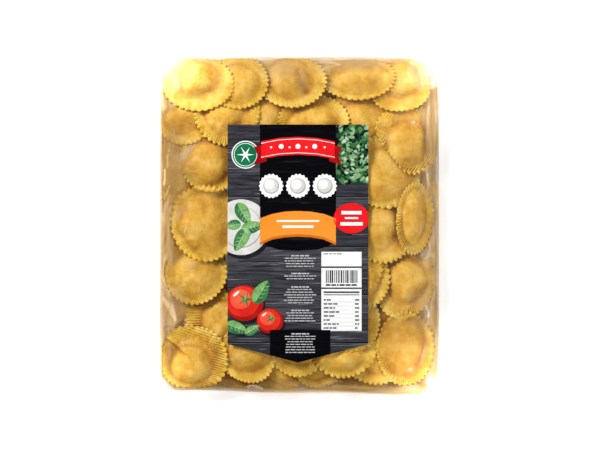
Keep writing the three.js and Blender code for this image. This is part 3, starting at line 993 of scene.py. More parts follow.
def pasta_material():
    material, nodes, links = new_material("egg_pasta")
    shader = nodes["Principled BSDF"]
    place = nodes.new("ShaderNodeTexCoord").outputs["Object"]
    tone = noise(nodes, links, place, TONE_SCALE, 6, 0.68)
    colour = ramp(nodes, links, tone, PASTA_TONES)
    spots = noise(nodes, links, place, SPECK_SCALE, 1, 0.4)
    specks = ramp(nodes, links, spots, [(0.72, (0, 0, 0)), (0.78, PLAIN)])
    colour = colour_mix(nodes, links, "MIX", specks, colour, (*SPECK, 1))
    for name, start, end, tint in TINTS:
        tinge = ramp(nodes, links, attribute(nodes, name), [(start, PLAIN), (end, tint)])
        colour = colour_mix(nodes, links, "MULTIPLY", 1, colour, tinge)
    links.new(colour, shader.inputs["Base Color"])
    shader.inputs["Roughness"].default_value = 0.55
    shader.inputs["Specular IOR Level"].default_value = 0.11
    shader.inputs["Subsurface Weight"].default_value = 0.12
    shader.inputs["Subsurface Radius"].default_value = (1.0, 0.5, 0.15)
    shader.inputs["Subsurface Scale"].default_value = 0.002
    grain = noise(nodes, links, place, GRAIN_SCALE, 3, 0.6)
    lumps = noise(nodes, links, place, LUMP_SCALE, 4, 0.6)
    bump = nodes.new("ShaderNodeBump")
    bump.inputs["Strength"].default_value = 0.5
    bump.inputs["Distance"].default_value = PIT_DEPTH
    uneven = math_node(nodes, links, "MULTIPLY_ADD", lumps, LUMPS_TO_GRAIN, grain)
    links.new(uneven, bump.inputs["Height"])
    links.new(bump.outputs["Normal"], shader.inputs["Normal"])
    return material


pasta = pasta_material()
for piece in [*shown_pieces, lower_piece]:
    paint(piece, pasta)
    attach(piece, "root")
print(len(shown_pieces) + 1, "pieces of", pasta.name)

# %% [markdown]
# ## The film
#
# The film touches the ravioli on their tops and spans the hollows between them like a drum skin
# that is pulled down a little by the vacuum. It is found on the same grid: each height moves to
# the mean of its neighbours, less a small pull, but never below what lies under it.

# %% The film's height
FILM_CLEARANCE = 0.35
PULL = 0.006
DRAW_STEPS = 900
FILM_BELOW_LABEL = 0.12
LABEL_HEM = 0.8
GAP_STEPS = 3

under_label = on_label(MESH_X, MESH_Y, LABEL_HEM)
content = widest(heap) + FILM_CLEARANCE
content = np.where(under_label, label_underside(MESH_X, MESH_Y) - FILM_BELOW_LABEL, content)
film = content.copy()
for _ in range(DRAW_STEPS):
    film = np.maximum(content, neighbour_mean(film) - PULL)
print("film over the ravioli by up to", round(float((film - content).max()), 1), "mm")

# %% [markdown]
# The mesh is a grid with its rows close together at the sides, where the film curves over. In plan
# its square corners are turned into round ones. The underside is the same grid, flat on the floor,
# and the two meet along the seam.

# %% Rows and columns of the film's mesh
ROUND_ROWS = 11
SLACK_WIDTH = 24.0
FINE_STEP = 0.8
WIDE_STEP = 1.25


def line_of_rows(half):
    """Places from -half to half: close together in the rounding and the slack sides, wider between."""
    angles = np.linspace(np.pi / 2, 0, ROUND_ROWS + 1)
    rounding = EDGE_ROUNDING * (1 - np.sin(angles))
    slack_side = np.arange(EDGE_ROUNDING + FINE_STEP, SLACK_WIDTH, FINE_STEP)
    side = np.concatenate([rounding, slack_side])
    count = round((2 * half - 2 * side[-1]) / WIDE_STEP)
    inner = np.linspace(side[-1], 2 * half - side[-1], count + 1)
    return np.concatenate([side, inner[1:-1], 2 * half - side[::-1]]) - half


COLUMN_PLACES = line_of_rows(HALF_WIDTH)
ROW_PLACES = line_of_rows(HALF_LENGTH)
COLUMNS, ROWS = len(COLUMN_PLACES) - 1, len(ROW_PLACES) - 1
print("the film's grid:", COLUMNS, "by", ROWS)

# %% The film's mesh
# Further in than this nothing is pressed together.
UNPRESSED_FROM = EDGE_ROUNDING * 1.5
# Unpressed, no point lies further out than this.
FURTHEST_OUT = 6
LEAST_GROWN = 1e-3


def round_corners(x, y):
    """Turns the square corners of the plan into quarter circles."""
    a = (np.abs(x) - REACH_X) / CORNER_RADIUS
    b = (np.abs(y) - REACH_Y) / CORNER_RADIUS
    corner = (a > 0) & (b > 0)
    round_a = a * np.sqrt(np.maximum(1 - b * b / 2, 0))
    round_b = b * np.sqrt(np.maximum(1 - a * a / 2, 0))
    new_x = np.where(corner, np.sign(x) * (REACH_X + round_a * CORNER_RADIUS), x)
    new_y = np.where(corner, np.sign(y) * (REACH_Y + round_b * CORNER_RADIUS), y)
    return new_x, new_y


def before_packing(x, y):
    """The point whose packed place is x, y: the way back through the pressing at the sides."""
    inset = side_of(x, y)[3]
    grown = np.exp(np.clip((inset - TUCK) / TUCK_SOFTNESS, -20, 60)) - 1
    loose = TUCK + TUCK_SOFTNESS * np.log(np.maximum(grown, LEAST_GROWN))
    loose = np.where(inset > UNPRESSED_FROM, inset, np.maximum(loose, -FURTHEST_OUT))
    return move_to_inset(x, y, loose)


def film_sheet(name, flip):
    """A grid over the whole plan, and the place of each of its vertices."""
    bpy.ops.mesh.primitive_grid_add(x_subdivisions=COLUMNS, y_subdivisions=ROWS, size=2)
    sheet = bpy.context.object
    sheet.name = name
    if flip:
        bpy.ops.object.mode_set(mode="EDIT")
        bpy.ops.mesh.select_all(action="SELECT")
        bpy.ops.mesh.flip_normals()
        bpy.ops.object.mode_set(mode="OBJECT")
    u, v, _ = points_of(sheet.data)
    u, v = u * MM, v * MM
    column = np.rint((u + 1) / 2 * COLUMNS).astype(int)
    row = np.rint((v + 1) / 2 * ROWS).astype(int)
    return sheet, *round_corners(COLUMN_PLACES[column], ROW_PLACES[row])


over, over_x, over_y = film_sheet("film", False)
loose_x, loose_y = before_packing(over_x, over_y)
over_inset = side_of(over_x, over_y)[3]
over_full = fullness(over_inset)
height = sample(film, loose_x, loose_y)
gap = sample(softened(film - content, GAP_STEPS), loose_x, loose_y)
print("the film stands off what it covers by up to", round(float(gap.max()), 1), "mm")

# %% [markdown]
# Along the sides the film is slack and crumpled. Random values on stretched cells, bent by a second,
# wider set, give fine wrinkles that run mostly along a side. They only raise the film, so that it
# never cuts into the pasta.

# %% Wrinkles
WRINKLE_HEIGHT = 0.4
# Cells of random values: how wide they are across a side, and how long along it.
SLOW_BENDS, QUICK_BENDS = (18, 30), (8, 12)
BROAD, FINE, CRESTS = (3.4, 34), (1.5, 20), (6.0, 50)


def rough(across, along, cell_across, cell_along):
    """Smooth random values between -1 and 1, on cells of a given size."""
    a, b = across / cell_across, along / cell_along
    a, b = a - a.min(), b - b.min()
    knots = rng.uniform(-1, 1, (int(a.max()) + 2, int(b.max()) + 2))
    i, j = a.astype(int), b.astype(int)
    part_a, part_b = smooth_step(0, 1, a - i), smooth_step(0, 1, b - j)
    near = knots[i, j] * (1 - part_a) + knots[i + 1, j] * part_a
    far = knots[i, j + 1] * (1 - part_a) + knots[i + 1, j + 1] * part_a
    return near * (1 - part_b) + far * part_b


def wrinkled(across, along):
    """Fine wrinkles that run along a side: 1 on their crests, -1 between them."""
    bend = 4.0 * rough(across, along, *SLOW_BENDS) + 1.2 * rough(across, along, *QUICK_BENDS)
    broad = rough(across + bend, along, *BROAD)
    fine = rough(across + 1.4 * bend, along, *FINE)
    crest = 1 - 6 * np.abs(rough(across + bend, along, *CRESTS))
    return np.clip(0.5 * broad + 0.25 * fine + 0.5 * np.maximum(crest, 0), -1, 1)


upright_wrinkles = wrinkled(over_x, over_y)
level_wrinkles = wrinkled(over_y, over_x)
side_away = HALF_WIDTH - np.abs(over_x)
end_away = HALF_LENGTH - np.abs(over_y)
wrinkles = np.where(side_away < end_away, upright_wrinkles, level_wrinkles)
print("wrinkles between", round(float(wrinkles.min()), 2), "and", round(float(wrinkles.max()), 2))

# %% [markdown]
# The larger creases are single lines with a soft ridge over them. The ones that stand out have places
# of their own, and the others are strewn along all four sides. They fade where the film lies close on
# the pasta, and none crosses the label.

# %% Creases
SIDE_SWELL = 0.5
SWELL_WIDTH = 4
CREASES_OFF_LABEL = 2
# The creases that stand out: start, end, bend, width and rise.
FOLDS = [
    ((-117.5, 39), (-123, 25), 1.5, 0.9, 0.9), ((-117, -60), (-112, -90), 1.0, 1.4, 0.6),
    ((-119, 66), (-119, 50), 0.5, 0.9, 0.7), ((122, 122), (121, 59), 1.2, 0.9, 0.8),
    ((113, 69), (118, 32), -1.5, 1.1, 0.9), ((119, 75), (116, 40), 1.0, 1.0, 0.7),
    ((113, -70), (113.5, -85), 0.4, 0.8, 1.0), ((122.5, -98), (122.5, -132), 0.8, 0.9, 0.7),
    ((-51, -148.8), (-31, -151.8), 4.5, 1.2, 1.0), ((18, -146), (42, -141), 2.0, 1.3, 0.9),
    ((12, 148), (42, 144), 2.0, 1.1, 0.8), ((14, 143.5), (32, 142), -1.0, 1.2, 0.7),
    ((-9.5, 143), (-9.5, 131), 0.5, 0.8, 0.7), ((-5, 142), (-6, 134), 0.0, 0.7, 0.5),
    ((-60, -118), (-52, -126), 0.6, 0.8, 0.6), ((-123.5, 20), (-122, -14), 0.5, 0.8, 0.7),
    ((-124, 60), (-123.5, 42), 0.3, 0.6, 0.6), ((118, 26), (121.5, -22), 0.8, 0.9, 0.8),
    ((121.5, -20), (121, -68), -0.8, 0.9, 0.7), ((115, 50), (121, 8), 1.0, 1.2, 0.6),
    ((-118, -68), (-110, -88), 0.5, 2.6, 0.6), ((-121, -95), (-104, -84), 0.6, 1.0, 0.5),
]


def side_creases():
    """Creases along all four sides, by chance."""
    lines = []
    for side, count in (("left", 26), ("right", 26), ("top", 12), ("bottom", 18)):
        for _ in range(count):
            inset = rng.uniform(1.5, 16) if rng.random() < 0.8 else rng.uniform(10, 26)
            upright = side in ("left", "right")
            half = HALF_LENGTH if upright else HALF_WIDTH
            middle = rng.uniform(-half + 25, half - 25)
            length = rng.uniform(18, 75)
            slope = rng.normal(0, 0.05)
            far = (HALF_WIDTH if upright else HALF_LENGTH) - inset
            sign = 1 if side in ("right", "top") else -1
            start, end = middle - length / 2, middle + length / 2
            near, away = sign * far, sign * (far - slope * length)
            points = ((near, start), (away, end)) if upright else ((start, near), (end, away))
            lines.append((*points, rng.normal(0, 1.6), rng.uniform(0.7, 1.5), rng.uniform(0.25, 0.75)))
    return lines


folds = sum(crease(over_x, over_y, *line) for line in FOLDS)
creases = folds + sum(crease(over_x, over_y, *line) for line in side_creases())
at_sides = smooth_step(26, 8, over_inset)
creases = creases + WRINKLE_HEIGHT * (0.5 + 0.5 * wrinkles) * at_sides * smooth_step(0.4, 2, gap)
creases = creases * (0.25 + 0.75 * smooth_step(0.2, 1.5, gap)) * smooth_step(0.3, 2.5, over_inset)
creases = np.where(on_label(over_x, over_y, CREASES_OFF_LABEL), 0, creases)
swell = SIDE_SWELL * over_full * np.exp(-over_inset / SWELL_WIDTH)
over_z = SEAM_HEIGHT + (height - SEAM_HEIGHT) * over_full + creases + swell
put_points(over.data, over_x, slant_bottom(over_x, over_y), over_z)

print("creases up to", round(float(creases.max()), 1), "mm high")

# %% The underside of the film
under, under_x, under_y = film_sheet("film_under", True)
under_inset = side_of(under_x, under_y)[3]
under_z = SEAM_HEIGHT * (1 - fullness(under_inset))
put_points(under.data, under_x, slant_bottom(under_x, under_y), under_z)
print("underside:", len(under.data.polygons), "faces")

# %% [markdown]
# Clear film looks milky where it stands clear of the pasta, along the sides and on its creases. How
# milky it is, is kept on the mesh as haze. A second value, frost, turns the milk from beige to white.
# Both are highest in bands along the sides, in patches, in streaks and in the corners. Part of this is
# painted light: a painted glare in each corner, painted highlights on the creases, in some streaks and
# patches and along the seam, and painted shade in the darker beige at the bottom. Two more values say
# where the film is slack and where it is free of the label, for its gloss.

# %% Where the film is milky
# The corners where glare is painted into the film's milk: place and reach.
PAINTED_CORNER_GLARE = {(-126, 154): 22, (126, 150): 23, (-129, -153): 14, (129, -148): 18}
# Bands along the sides: axis, which side, width, how strong and how pale. The band at the bottom is
# the least pale, as painted shade.
BANDS = (("x", -1, 17, 0.66, 0.17), ("x", 1, 15, 0.62, 0.22),
         ("y", 1, 8, 0.55, 0.32), ("y", -1, 10, 0.64, -0.05))
# Patches: middle, reach, how strong and how pale. The faint pale ones by the top corners widen the
# painted glare, and the small ones on the left and by the right rim are a painted sheen and glint.
PATCHES = (
    ((-18, 144), (22, 13), 0.4, 0.25), ((122, 82), (7, 34), 0.5, 0.22), ((113, -25), (5, 5), 0.5, 0.6),
    ((115, -72), (8, 14), 0.6, 0.42), ((-115, -72), (14, 18), 0.62, 0.3), ((2, 132), (6, 14), 0.35, 0.0),
    ((-116, 56), (15, 36), 0.74, 0.15), ((-97, -35), (6, 3), 0.35, 0.55), ((116, 36), (9, 14), 0.5, 0.3),
    ((-111, 136), (20, 15), 0.12, 0.9), ((113, 138), (16, 15), 0.17, 0.95),
    ((48, 148), (38, 8), 0.6, 0.32), ((24, 145), (10, 8), 0.5, 0.4),
)
# Streaks: start, end, bend, width, how strong and how pale. Some are pale creases, and the short
# ones on the ravioli and by the right side are painted glints.
STREAKS = (
    ((-51, -148.8), (-31, -151.8), 4.5, 1.0, 0.7, 0.75), ((14, 147), (40, 144), 1.5, 1.0, 0.6, 0.6),
    ((-49, -149.5), (-35, -151.5), 3.0, 0.7, 0.6, 0.55), ((-125, -62), (-111, -86), 0.8, 2.2, 0.6, 0.55),
    ((-124, 20), (-123, -55), 0.5, 0.8, 0.6, 0.42), ((-122, 54), (-122.5, 34), 0.6, 0.8, 0.6, 0.75),
    ((-103.5, -7), (-101.5, 1), 0, 0.9, 0.25, 0.8), ((-93, -50), (-91.5, -60), 2, 0.9, 0.25, 0.8),
    ((113.5, -70), (115, -84), 1.2, 0.9, 0.6, 1.0), ((121, -5), (120, -90), 0.8, 0.9, 0.6, 0.45),
    ((119, 110), (121, 50), 1.0, 1.0, 0.6, 0.5),
)
print(len(BANDS), "bands,", len(PATCHES), "patches and", len(STREAKS), "streaks")

# %% Haze and frost
LEAST_HAZE = 0.015
SEAM_HAZE, SEAM_WIDTH = 0.3, 3
RIGHT_HAZE, TOP_HAZE = 0.07, 0.05
CREASE_HAZE, FOLD_HAZE = 0.1, 0.08
# How milky and how white glare is painted into the corners, and how pale the seam is painted as the film's
# edge highlight.
GLARE_HAZE, GLARE_FROST = 0.6, 0.85
SEAM_FROST, FROST_WIDTH = 0.6, 2.5
GLOSS_OFF_LABEL, GLOSS_STEPS = 8, 20


def corner_glare(x, y):
    """How near a point is to one of the corners where glare is painted: 1 in the corner."""
    spots = [np.exp(-((x - a) ** 2 + (y - b) ** 2) / reach ** 2) for (a, b), reach in PAINTED_CORNER_GLARE.items()]
    return np.max(spots, axis=0)


glare = corner_glare(over_x, over_y) * (1 + 0.45 * wrinkles)
haze = LEAST_HAZE + SEAM_HAZE * np.exp(-over_inset / SEAM_WIDTH)
haze = haze + RIGHT_HAZE * smooth_step(30, 110, over_x) + TOP_HAZE * smooth_step(100, 140, over_y)
# Creases and folds are painted paler, as highlights on their crests.
frost = np.maximum(0.3 * np.clip(creases / 0.8, 0, 1), 0.55 * smooth_step(0.2, 0.9, folds))
frost = np.maximum(frost, 0.4 * smooth_step(30, 110, np.maximum(over_x, over_y - 30)))
for axis, sign, width, strength, pale in BANDS:
    if axis == "x":
        across, along, half, lines = over_x, over_y, HALF_WIDTH, upright_wrinkles
    else:
        across, along, half, lines = over_y, over_x, HALF_LENGTH, level_wrinkles
    away = half - sign * across + 2 * np.sin(along / 9) + 1.5 * np.sin(along / 4.3)
    band = smooth_step(1.3 * width, 0.45 * width, away)
    band = band * (0.12 + 0.88 * smooth_step(0.3, 3, gap))
    haze = np.maximum(haze, band * strength * (1 + 0.6 * lines))
    frost = np.maximum(frost, band * (pale + 0.42 * lines))
for (x, y), (wide, high), strength, pale in PATCHES:
    patch = np.exp(-((over_x - x) / wide) ** 2 - ((over_y - y) / high) ** 2)
    haze = np.maximum(haze, patch * strength)
    frost = np.maximum(frost, pale * smooth_step(0.1, 0.5, patch))
for *line, strength, pale in STREAKS:
    streak = crease(over_x, over_y, *line, 1)
    haze = np.maximum(haze, streak * strength)
    frost = np.maximum(frost, pale * smooth_step(0.1, 0.7, streak))
# Painted glare: the corners are painted milky and white. Painted highlight: the seam is painted pale.
haze = np.maximum(haze + CREASE_HAZE * creases + FOLD_HAZE * folds, GLARE_HAZE * glare ** 1.3)
frost = np.maximum(frost, GLARE_FROST * smooth_step(0.0, 0.8, glare))
frost = np.maximum(frost, SEAM_FROST * np.exp(-over_inset / FROST_WIDTH))
haze = haze * (1 - 0.95 * on_label(over_x, over_y))
near_label = softened(on_label(MESH_X, MESH_Y, GLOSS_OFF_LABEL).astype(float), GLOSS_STEPS)
free = 1 - sample(near_label, over_x, over_y)
keep_values(over, "haze", haze)
keep_values(over, "frost", frost)
keep_values(over, "slack", (smooth_step(0.6, 3, gap) + creases) * free)
keep_values(over, "free", free)
print("haze between", round(float(haze.min()), 2), "and", round(float(haze.max()), 2))

# %% Haze and frost of the underside
UNDER_HAZE, UNDER_SIDE_HAZE = 0.1, 0.8
UNDER_FROST, UNDER_MOST_FROST = 0.27, 0.9
UNDER_SLACK = 0.5

# The underside gets the same painted glare in its corners and a pale painted seam.
under_glare = smooth_step(0.05, 0.5, corner_glare(under_x, under_y))
under_frost = np.maximum(under_glare, np.exp(-under_inset / FROST_WIDTH))
under_haze = smooth_step(24, 9, under_inset) * (0.4 + 0.6 * smooth_step(1, 4, under_inset))
keep_values(under, "haze", UNDER_HAZE + UNDER_SIDE_HAZE * under_haze)
keep_values(under, "frost", np.maximum(UNDER_FROST, UNDER_MOST_FROST * under_frost))
keep_values(under, "slack", np.full(len(under_inset), UNDER_SLACK))
keep_values(under, "free", np.ones(len(under_inset)))
print("under it up to", round(float(UNDER_HAZE + UNDER_SIDE_HAZE * under_haze.max()), 2))

# %% [markdown]
# The two sheets become one closed skin, joined along the seam.

# %% The film as one piece
# The flat middle of the underside needs no more than one face.
pick(under)
select_faces(under, under_inset > EDGE_ROUNDING + 1)
bpy.ops.mesh.dissolve_faces()
leave_faces()
film_piece = joined([over, under], "film")
bpy.ops.object.mode_set(mode="EDIT")
bpy.ops.mesh.select_all(action="SELECT")
bpy.ops.mesh.remove_doubles(threshold=MERGE_DISTANCE)
bpy.ops.mesh.faces_shade_smooth()
bpy.ops.object.mode_set(mode="OBJECT")
print("film:", len(film_piece.data.polygons), "faces")

# %% [markdown]
# The film itself is clear: what lies behind it shows through, with a little gloss that grows towards
# grazing angles. Over that lies the milk, a dull white that haze mixes in and frost colours.

# %% Film
GLOSS_ROUGHNESS = 0.25
GRAZING_POWER = 5.0
GRAZING_GLOSS = 0.5
SLACK_GLOSS = 0.014
LEAST_GLOSS = 0.003
# The milk's colour by frost, from dark beige to white. Its darker tones stand partly for the pasta seen
# through the film and partly for painted shade on the film.
MILK_TONES = [(0, (0.24, 0.13, 0.03)), (0.25, (0.42, 0.26, 0.105)), (0.5, (0.68, 0.47, 0.25)),
              (0.75, (0.88, 0.76, 0.52)), (1, (0.96, 0.94, 0.8))]


def film_material():
    material, nodes, links = new_material("clear_film")
    nodes.remove(nodes["Principled BSDF"])
    clear = nodes.new("ShaderNodeBsdfTransparent")
    gloss = nodes.new("ShaderNodeBsdfGlossy")
    gloss.inputs["Roughness"].default_value = GLOSS_ROUGHNESS
    slope = nodes.new("ShaderNodeLayerWeight")
    slope.inputs["Blend"].default_value = 0.5
    grazing = math_node(nodes, links, "POWER", slope.outputs["Facing"], GRAZING_POWER)
    grazing = math_node(nodes, links, "MULTIPLY", grazing, attribute(nodes, "free"))
    slack = attribute(nodes, "slack")
    straight = math_node(nodes, links, "MULTIPLY_ADD", slack, SLACK_GLOSS, LEAST_GLOSS)
    mirror = math_node(nodes, links, "MULTIPLY_ADD", grazing, GRAZING_GLOSS, straight)
    skin = shader_mix(nodes, links, mirror, clear.outputs["BSDF"], gloss.outputs["BSDF"])
    milk = nodes.new("ShaderNodeBsdfDiffuse")
    frost = attribute(nodes, "frost")
    links.new(ramp(nodes, links, frost, MILK_TONES), milk.inputs["Color"])
    whole = shader_mix(nodes, links, attribute(nodes, "haze"), skin, milk.outputs["BSDF"])
    links.new(whole, nodes["Material Output"].inputs["Surface"])
    return material


paint(film_piece, film_material())
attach(film_piece, "root")
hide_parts("bag")

# %% [markdown]
# ## The card label
#
# The label is a card with a pointed lower end. A plain grid is drawn out to its outline, laid on the
# wave of the film below, and thickened with a modifier.

# %% The card
CARD_COLUMNS, CARD_ROWS = 44, 66


def label_top(x, y):
    return label_underside(x, y) + LABEL_THICKNESS


bpy.ops.object.select_all(action="DESELECT")
bpy.ops.mesh.primitive_grid_add(x_subdivisions=CARD_COLUMNS, y_subdivisions=CARD_ROWS, size=2)
card = bpy.context.object
card.name = "label_card"
u, v, _ = points_of(card.data) * MM
card_x = LABEL_MIDDLE + u * LABEL_HALF
card_y = LABEL_TOP + (label_low_edge(card_x) - LABEL_TOP) * (1 - v) / 2
put_points(card.data, card_x, card_y, label_top(card_x, card_y))
thick = card.modifiers.new("thickness", "SOLIDIFY")
thick.thickness = LABEL_THICKNESS * MM
thick.offset = -1
bpy.ops.object.modifier_apply(modifier="thickness")
print("card:", len(card.data.polygons), "faces")

# %% [markdown]
# ## The print
#
# The print is of a general kind: slate boards, a dark panel, leaves, tomatoes, a banner, and white
# boxes with stripes and ruled lines, with no words. Each colour is a set of flat shapes. They are
# filled circles whose vertices are moved to an outline, and they are laid in order over each other.

# %% Outlines, in mm from the card's top left corner, down and to the right
def bar(left, top, right, bottom):
    return [(left, top), (right, top), (right, bottom), (left, bottom)]


def around(u, v, radii, turn=0.0):
    """A closed outline round a point from radii at even angles."""
    angles = np.arange(len(radii)) * 2 * np.pi / len(radii)
    return turned_outline(u, v, np.cos(angles) * radii, np.sin(angles) * radii, turn)


def turned_outline(u, v, along, across, turn):
    cos, sin = math.cos(math.radians(turn)), math.sin(math.radians(turn))
    return list(zip(u + along * cos - across * sin, v + along * sin + across * cos))


def disc(u, v, radius, squash=1.0, turn=0.0):
    angles = np.linspace(0, 2 * np.pi, 48, endpoint=False)
    return turned_outline(u, v, np.cos(angles) * radius, np.sin(angles) * radius * squash, turn)


def fluted(u, v, radius, teeth=18):
    angles = np.arange(teeth * 6) * 2 * np.pi / (teeth * 6)
    return around(u, v, radius * (1 + 0.05 * np.cos(teeth * angles)))


# %% Leaves
def leaf_side(length, width):
    """One side of a leaf, from its stalk to its tip, broader towards the stalk."""
    t = np.linspace(0, np.pi, 14)
    return -length / 2 * np.cos(t), width / 2 * np.sin(t) ** 1.2 * (1 + 0.25 * np.cos(t))


def leaf(u, v, length, width, turn):
    along, side = leaf_side(length, width)
    outline_u = np.concatenate([along, along[-2:0:-1]])
    outline_v = np.concatenate([side, -side[-2:0:-1]])
    return turned_outline(u, v, outline_u, outline_v, turn)


def half_leaf(u, v, length, width, turn):
    along, side = leaf_side(length * 0.97, -width * 0.93)
    return turned_outline(u, v, along, side, turn)


def veins(u, v, length, width, turn):
    """The middle vein of a leaf and four pairs of side veins."""
    lines = [leaf(u, v, length * 0.88, 0.55, turn)]
    for share in (-0.27, -0.1, 0.07, 0.22):
        for side in (-1, 1):
            along = np.array([share * length + width * 0.14])
            across = np.array([side * width * 0.18])
            [middle] = turned_outline(u, v, along, across, turn)
            long = width * 0.42 * (1 - abs(share))
            lines.append(leaf(*middle, long, 0.36, turn + side * 48))
    return lines


# %% Rings, stars and strips
def ring(u, v, radius, width):
    """A thin ring, as an outline that runs round outside and back inside."""
    outer, inner = disc(u, v, radius), disc(u, v, radius - width)
    return outer + outer[:1] + inner[:1] + inner[::-1]


def star(u, v, radius, arms, inner):
    return around(u, v, np.array([radius, radius * inner] * arms))


def strip(line, top, bottom):
    """A strip that follows a line, between two distances below it."""
    return [(u, v + top) for u, v in line] + [(u, v + bottom) for u, v in reversed(line)]


def mirrored(outline):
    return [(CARD_WIDTH - u, v) for u, v in outline]


# %% [markdown]
# Cutting works on a piece in edit mode. All that lies beyond the card's five sides is cut away, and
# the rest is cut into squares. After that it is given a little height, and its vertices are moved to
# the card: the lower ones just into it, and the upper ones above it by a hair for each layer.

# %% Cutting and laying the shapes
LAYER = 0.022
SUNK = 0.05
CUT_STEP = 10.0
CARD_WIDTH = LABEL_RIGHT - LABEL_LEFT
CARD_TIP = LABEL_TOP - LABEL_TIP
TIP_SLOPE = (LABEL_LOW - LABEL_TIP) / LABEL_HALF
# The card's sides: a place on each, and the direction that leads off the card.
TRIMS = (
    ((LABEL_LEFT, 0), (-1, 0)), ((LABEL_RIGHT, 0), (1, 0)), ((0, LABEL_TOP), (0, 1)),
    ((LABEL_MIDDLE, LABEL_TIP), (-TIP_SLOPE, -1)), ((LABEL_MIDDLE, LABEL_TIP), (TIP_SLOPE, -1)),
)


def bisect(place, normal, clear=False):
    bpy.ops.mesh.select_all(action="SELECT")
    place = (place[0] * MM, place[1] * MM, 0)
    bpy.ops.mesh.bisect(plane_co=place, plane_no=(*normal, 0), clear_outer=clear)


def print_layer(name, layer, material, outlines):
    """One colour of the print, from a list of outlines."""
    bpy.ops.object.select_all(action="DESELECT")
    first, *others = outlines
    bpy.ops.mesh.primitive_circle_add(vertices=len(first), fill_type="NGON")
    piece = bpy.context.object
    piece.name = name
    bpy.ops.object.mode_set(mode="EDIT")
    for outline in others:
        bpy.ops.mesh.primitive_circle_add(vertices=len(outline), fill_type="NGON")
    bpy.ops.object.mode_set(mode="OBJECT")
    flat = np.array([point for outline in outlines for point in outline])
    x, y = LABEL_LEFT + flat[:, 0], LABEL_TOP - flat[:, 1]
    put_points(piece.data, x, y, 0 * x)
    bpy.ops.object.mode_set(mode="EDIT")
    for place, normal in TRIMS:
        bisect(place, normal, clear=True)
    for cut in np.arange(math.ceil(x.min()), x.max(), CUT_STEP):
        bisect((cut, 0), (1, 0))
    for cut in np.arange(math.ceil(y.min()), y.max(), CUT_STEP):
        bisect((0, cut), (0, 1))
    bpy.ops.mesh.select_all(action="SELECT")
    bpy.ops.mesh.extrude_region_move(TRANSFORM_OT_translate={"value": (0, 0, MM)})
    bpy.ops.mesh.select_all(action="SELECT")
    bpy.ops.mesh.normals_make_consistent(inside=False)
    bpy.ops.object.mode_set(mode="OBJECT")
    x, y, z = points_of(piece.data)
    put_points(piece.data, x, y, label_top(x, y) + np.where(z > 0.5, layer * LAYER, -SUNK))
    paint(piece, material)
    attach(piece, "root")
    return piece


# %% [markdown]
# An ink varies a little between a dark and a light tone, as print on card does. Its pattern has a
# scale, and for wood it is stretched along the boards. Inks are nearly matt.

# %% Inks
INK_ROUGHNESS = 0.55
INK_GLOSS = 0.025


def ink(name, dark, light, scale=60.0, stretch=1):
    """A printed colour that varies between two tones."""
    material, nodes, links = new_material(name)
    shader = nodes["Principled BSDF"]
    mapping = nodes.new("ShaderNodeMapping")
    mapping.inputs["Scale"].default_value = (1, stretch, 1)
    links.new(nodes.new("ShaderNodeTexCoord").outputs["Object"], mapping.inputs["Vector"])
    tone = noise(nodes, links, mapping.outputs["Vector"], scale, 5, 0.6)
    links.new(ramp(nodes, links, tone, [(0.3, dark), (0.7, light)]), shader.inputs["Base Color"])
    shader.inputs["Roughness"].default_value = INK_ROUGHNESS
    shader.inputs["Specular IOR Level"].default_value = INK_GLOSS
    return material


# Each ink: its dark tone, its light tone, and where they differ, its scale and stretch.
INK_TONES = {
    "slate": ((0.008, 0.008, 0.012), (0.055, 0.055, 0.066), 34, 12),
    "plank": ((0.016, 0.016, 0.021), (0.08, 0.08, 0.092), 40, 14),
    "board_gap": ((0.003, 0.003, 0.005), (0.008, 0.008, 0.011)),
    "board_light": ((0.07, 0.072, 0.08), (0.2, 0.2, 0.21), 60, 6),
    "panel": ((0.0002, 0.0002, 0.0006), (0.003, 0.003, 0.005), 40, 20),
    "panel_grain": ((0.004, 0.004, 0.006), (0.016, 0.016, 0.02), 40, 8),
    "shade": ((0.006, 0.006, 0.009), (0.02, 0.02, 0.026), 20),
    "dark_leaf": ((0.003, 0.03, 0.014), (0.01, 0.085, 0.035), 150),
    "leaf": ((0.015, 0.105, 0.03), (0.06, 0.23, 0.06), 150),
    "herb_mid": ((0.03, 0.12, 0.035), (0.09, 0.22, 0.075), 180),
    "herb_light": ((0.15, 0.3, 0.13), (0.3, 0.47, 0.25), 180),
    "light_leaf": ((0.08, 0.26, 0.06), (0.23, 0.45, 0.14), 150),
    "pale_leaf": ((0.25, 0.42, 0.24), (0.55, 0.68, 0.5), 150),
    "white": ((0.8, 0.8, 0.79), (0.88, 0.88, 0.87)),
    "cream": ((0.5, 0.49, 0.46), (0.68, 0.67, 0.64), 90),
    "cream_shade": ((0.27, 0.26, 0.25), (0.42, 0.41, 0.39), 60),
    "grey": ((0.42, 0.42, 0.43), (0.6, 0.6, 0.6), 300),
    "black": ((0.01, 0.01, 0.012), (0.03, 0.03, 0.03)),
    "green": ((0.0, 0.11, 0.045), (0.01, 0.17, 0.065)),
    "red": ((0.68, 0.008, 0.012), (0.78, 0.015, 0.018)),
    "red_fold": ((0.25, 0.003, 0.005), (0.36, 0.006, 0.008)),
    "tomato_dark": ((0.27, 0.004, 0.003), (0.42, 0.012, 0.008), 60),
    "tomato": ((0.55, 0.012, 0.008), (0.72, 0.035, 0.02), 60),
    "tomato_light": ((0.72, 0.05, 0.025), (0.86, 0.14, 0.07), 60),
    "orange": ((0.74, 0.22, 0.02), (0.86, 0.31, 0.035), 16),
    "orange_dark": ((0.5, 0.11, 0.008), (0.62, 0.16, 0.015), 16),
}
INKS = {name: ink("ink_" + name, *tones) for name, tones in INK_TONES.items()}


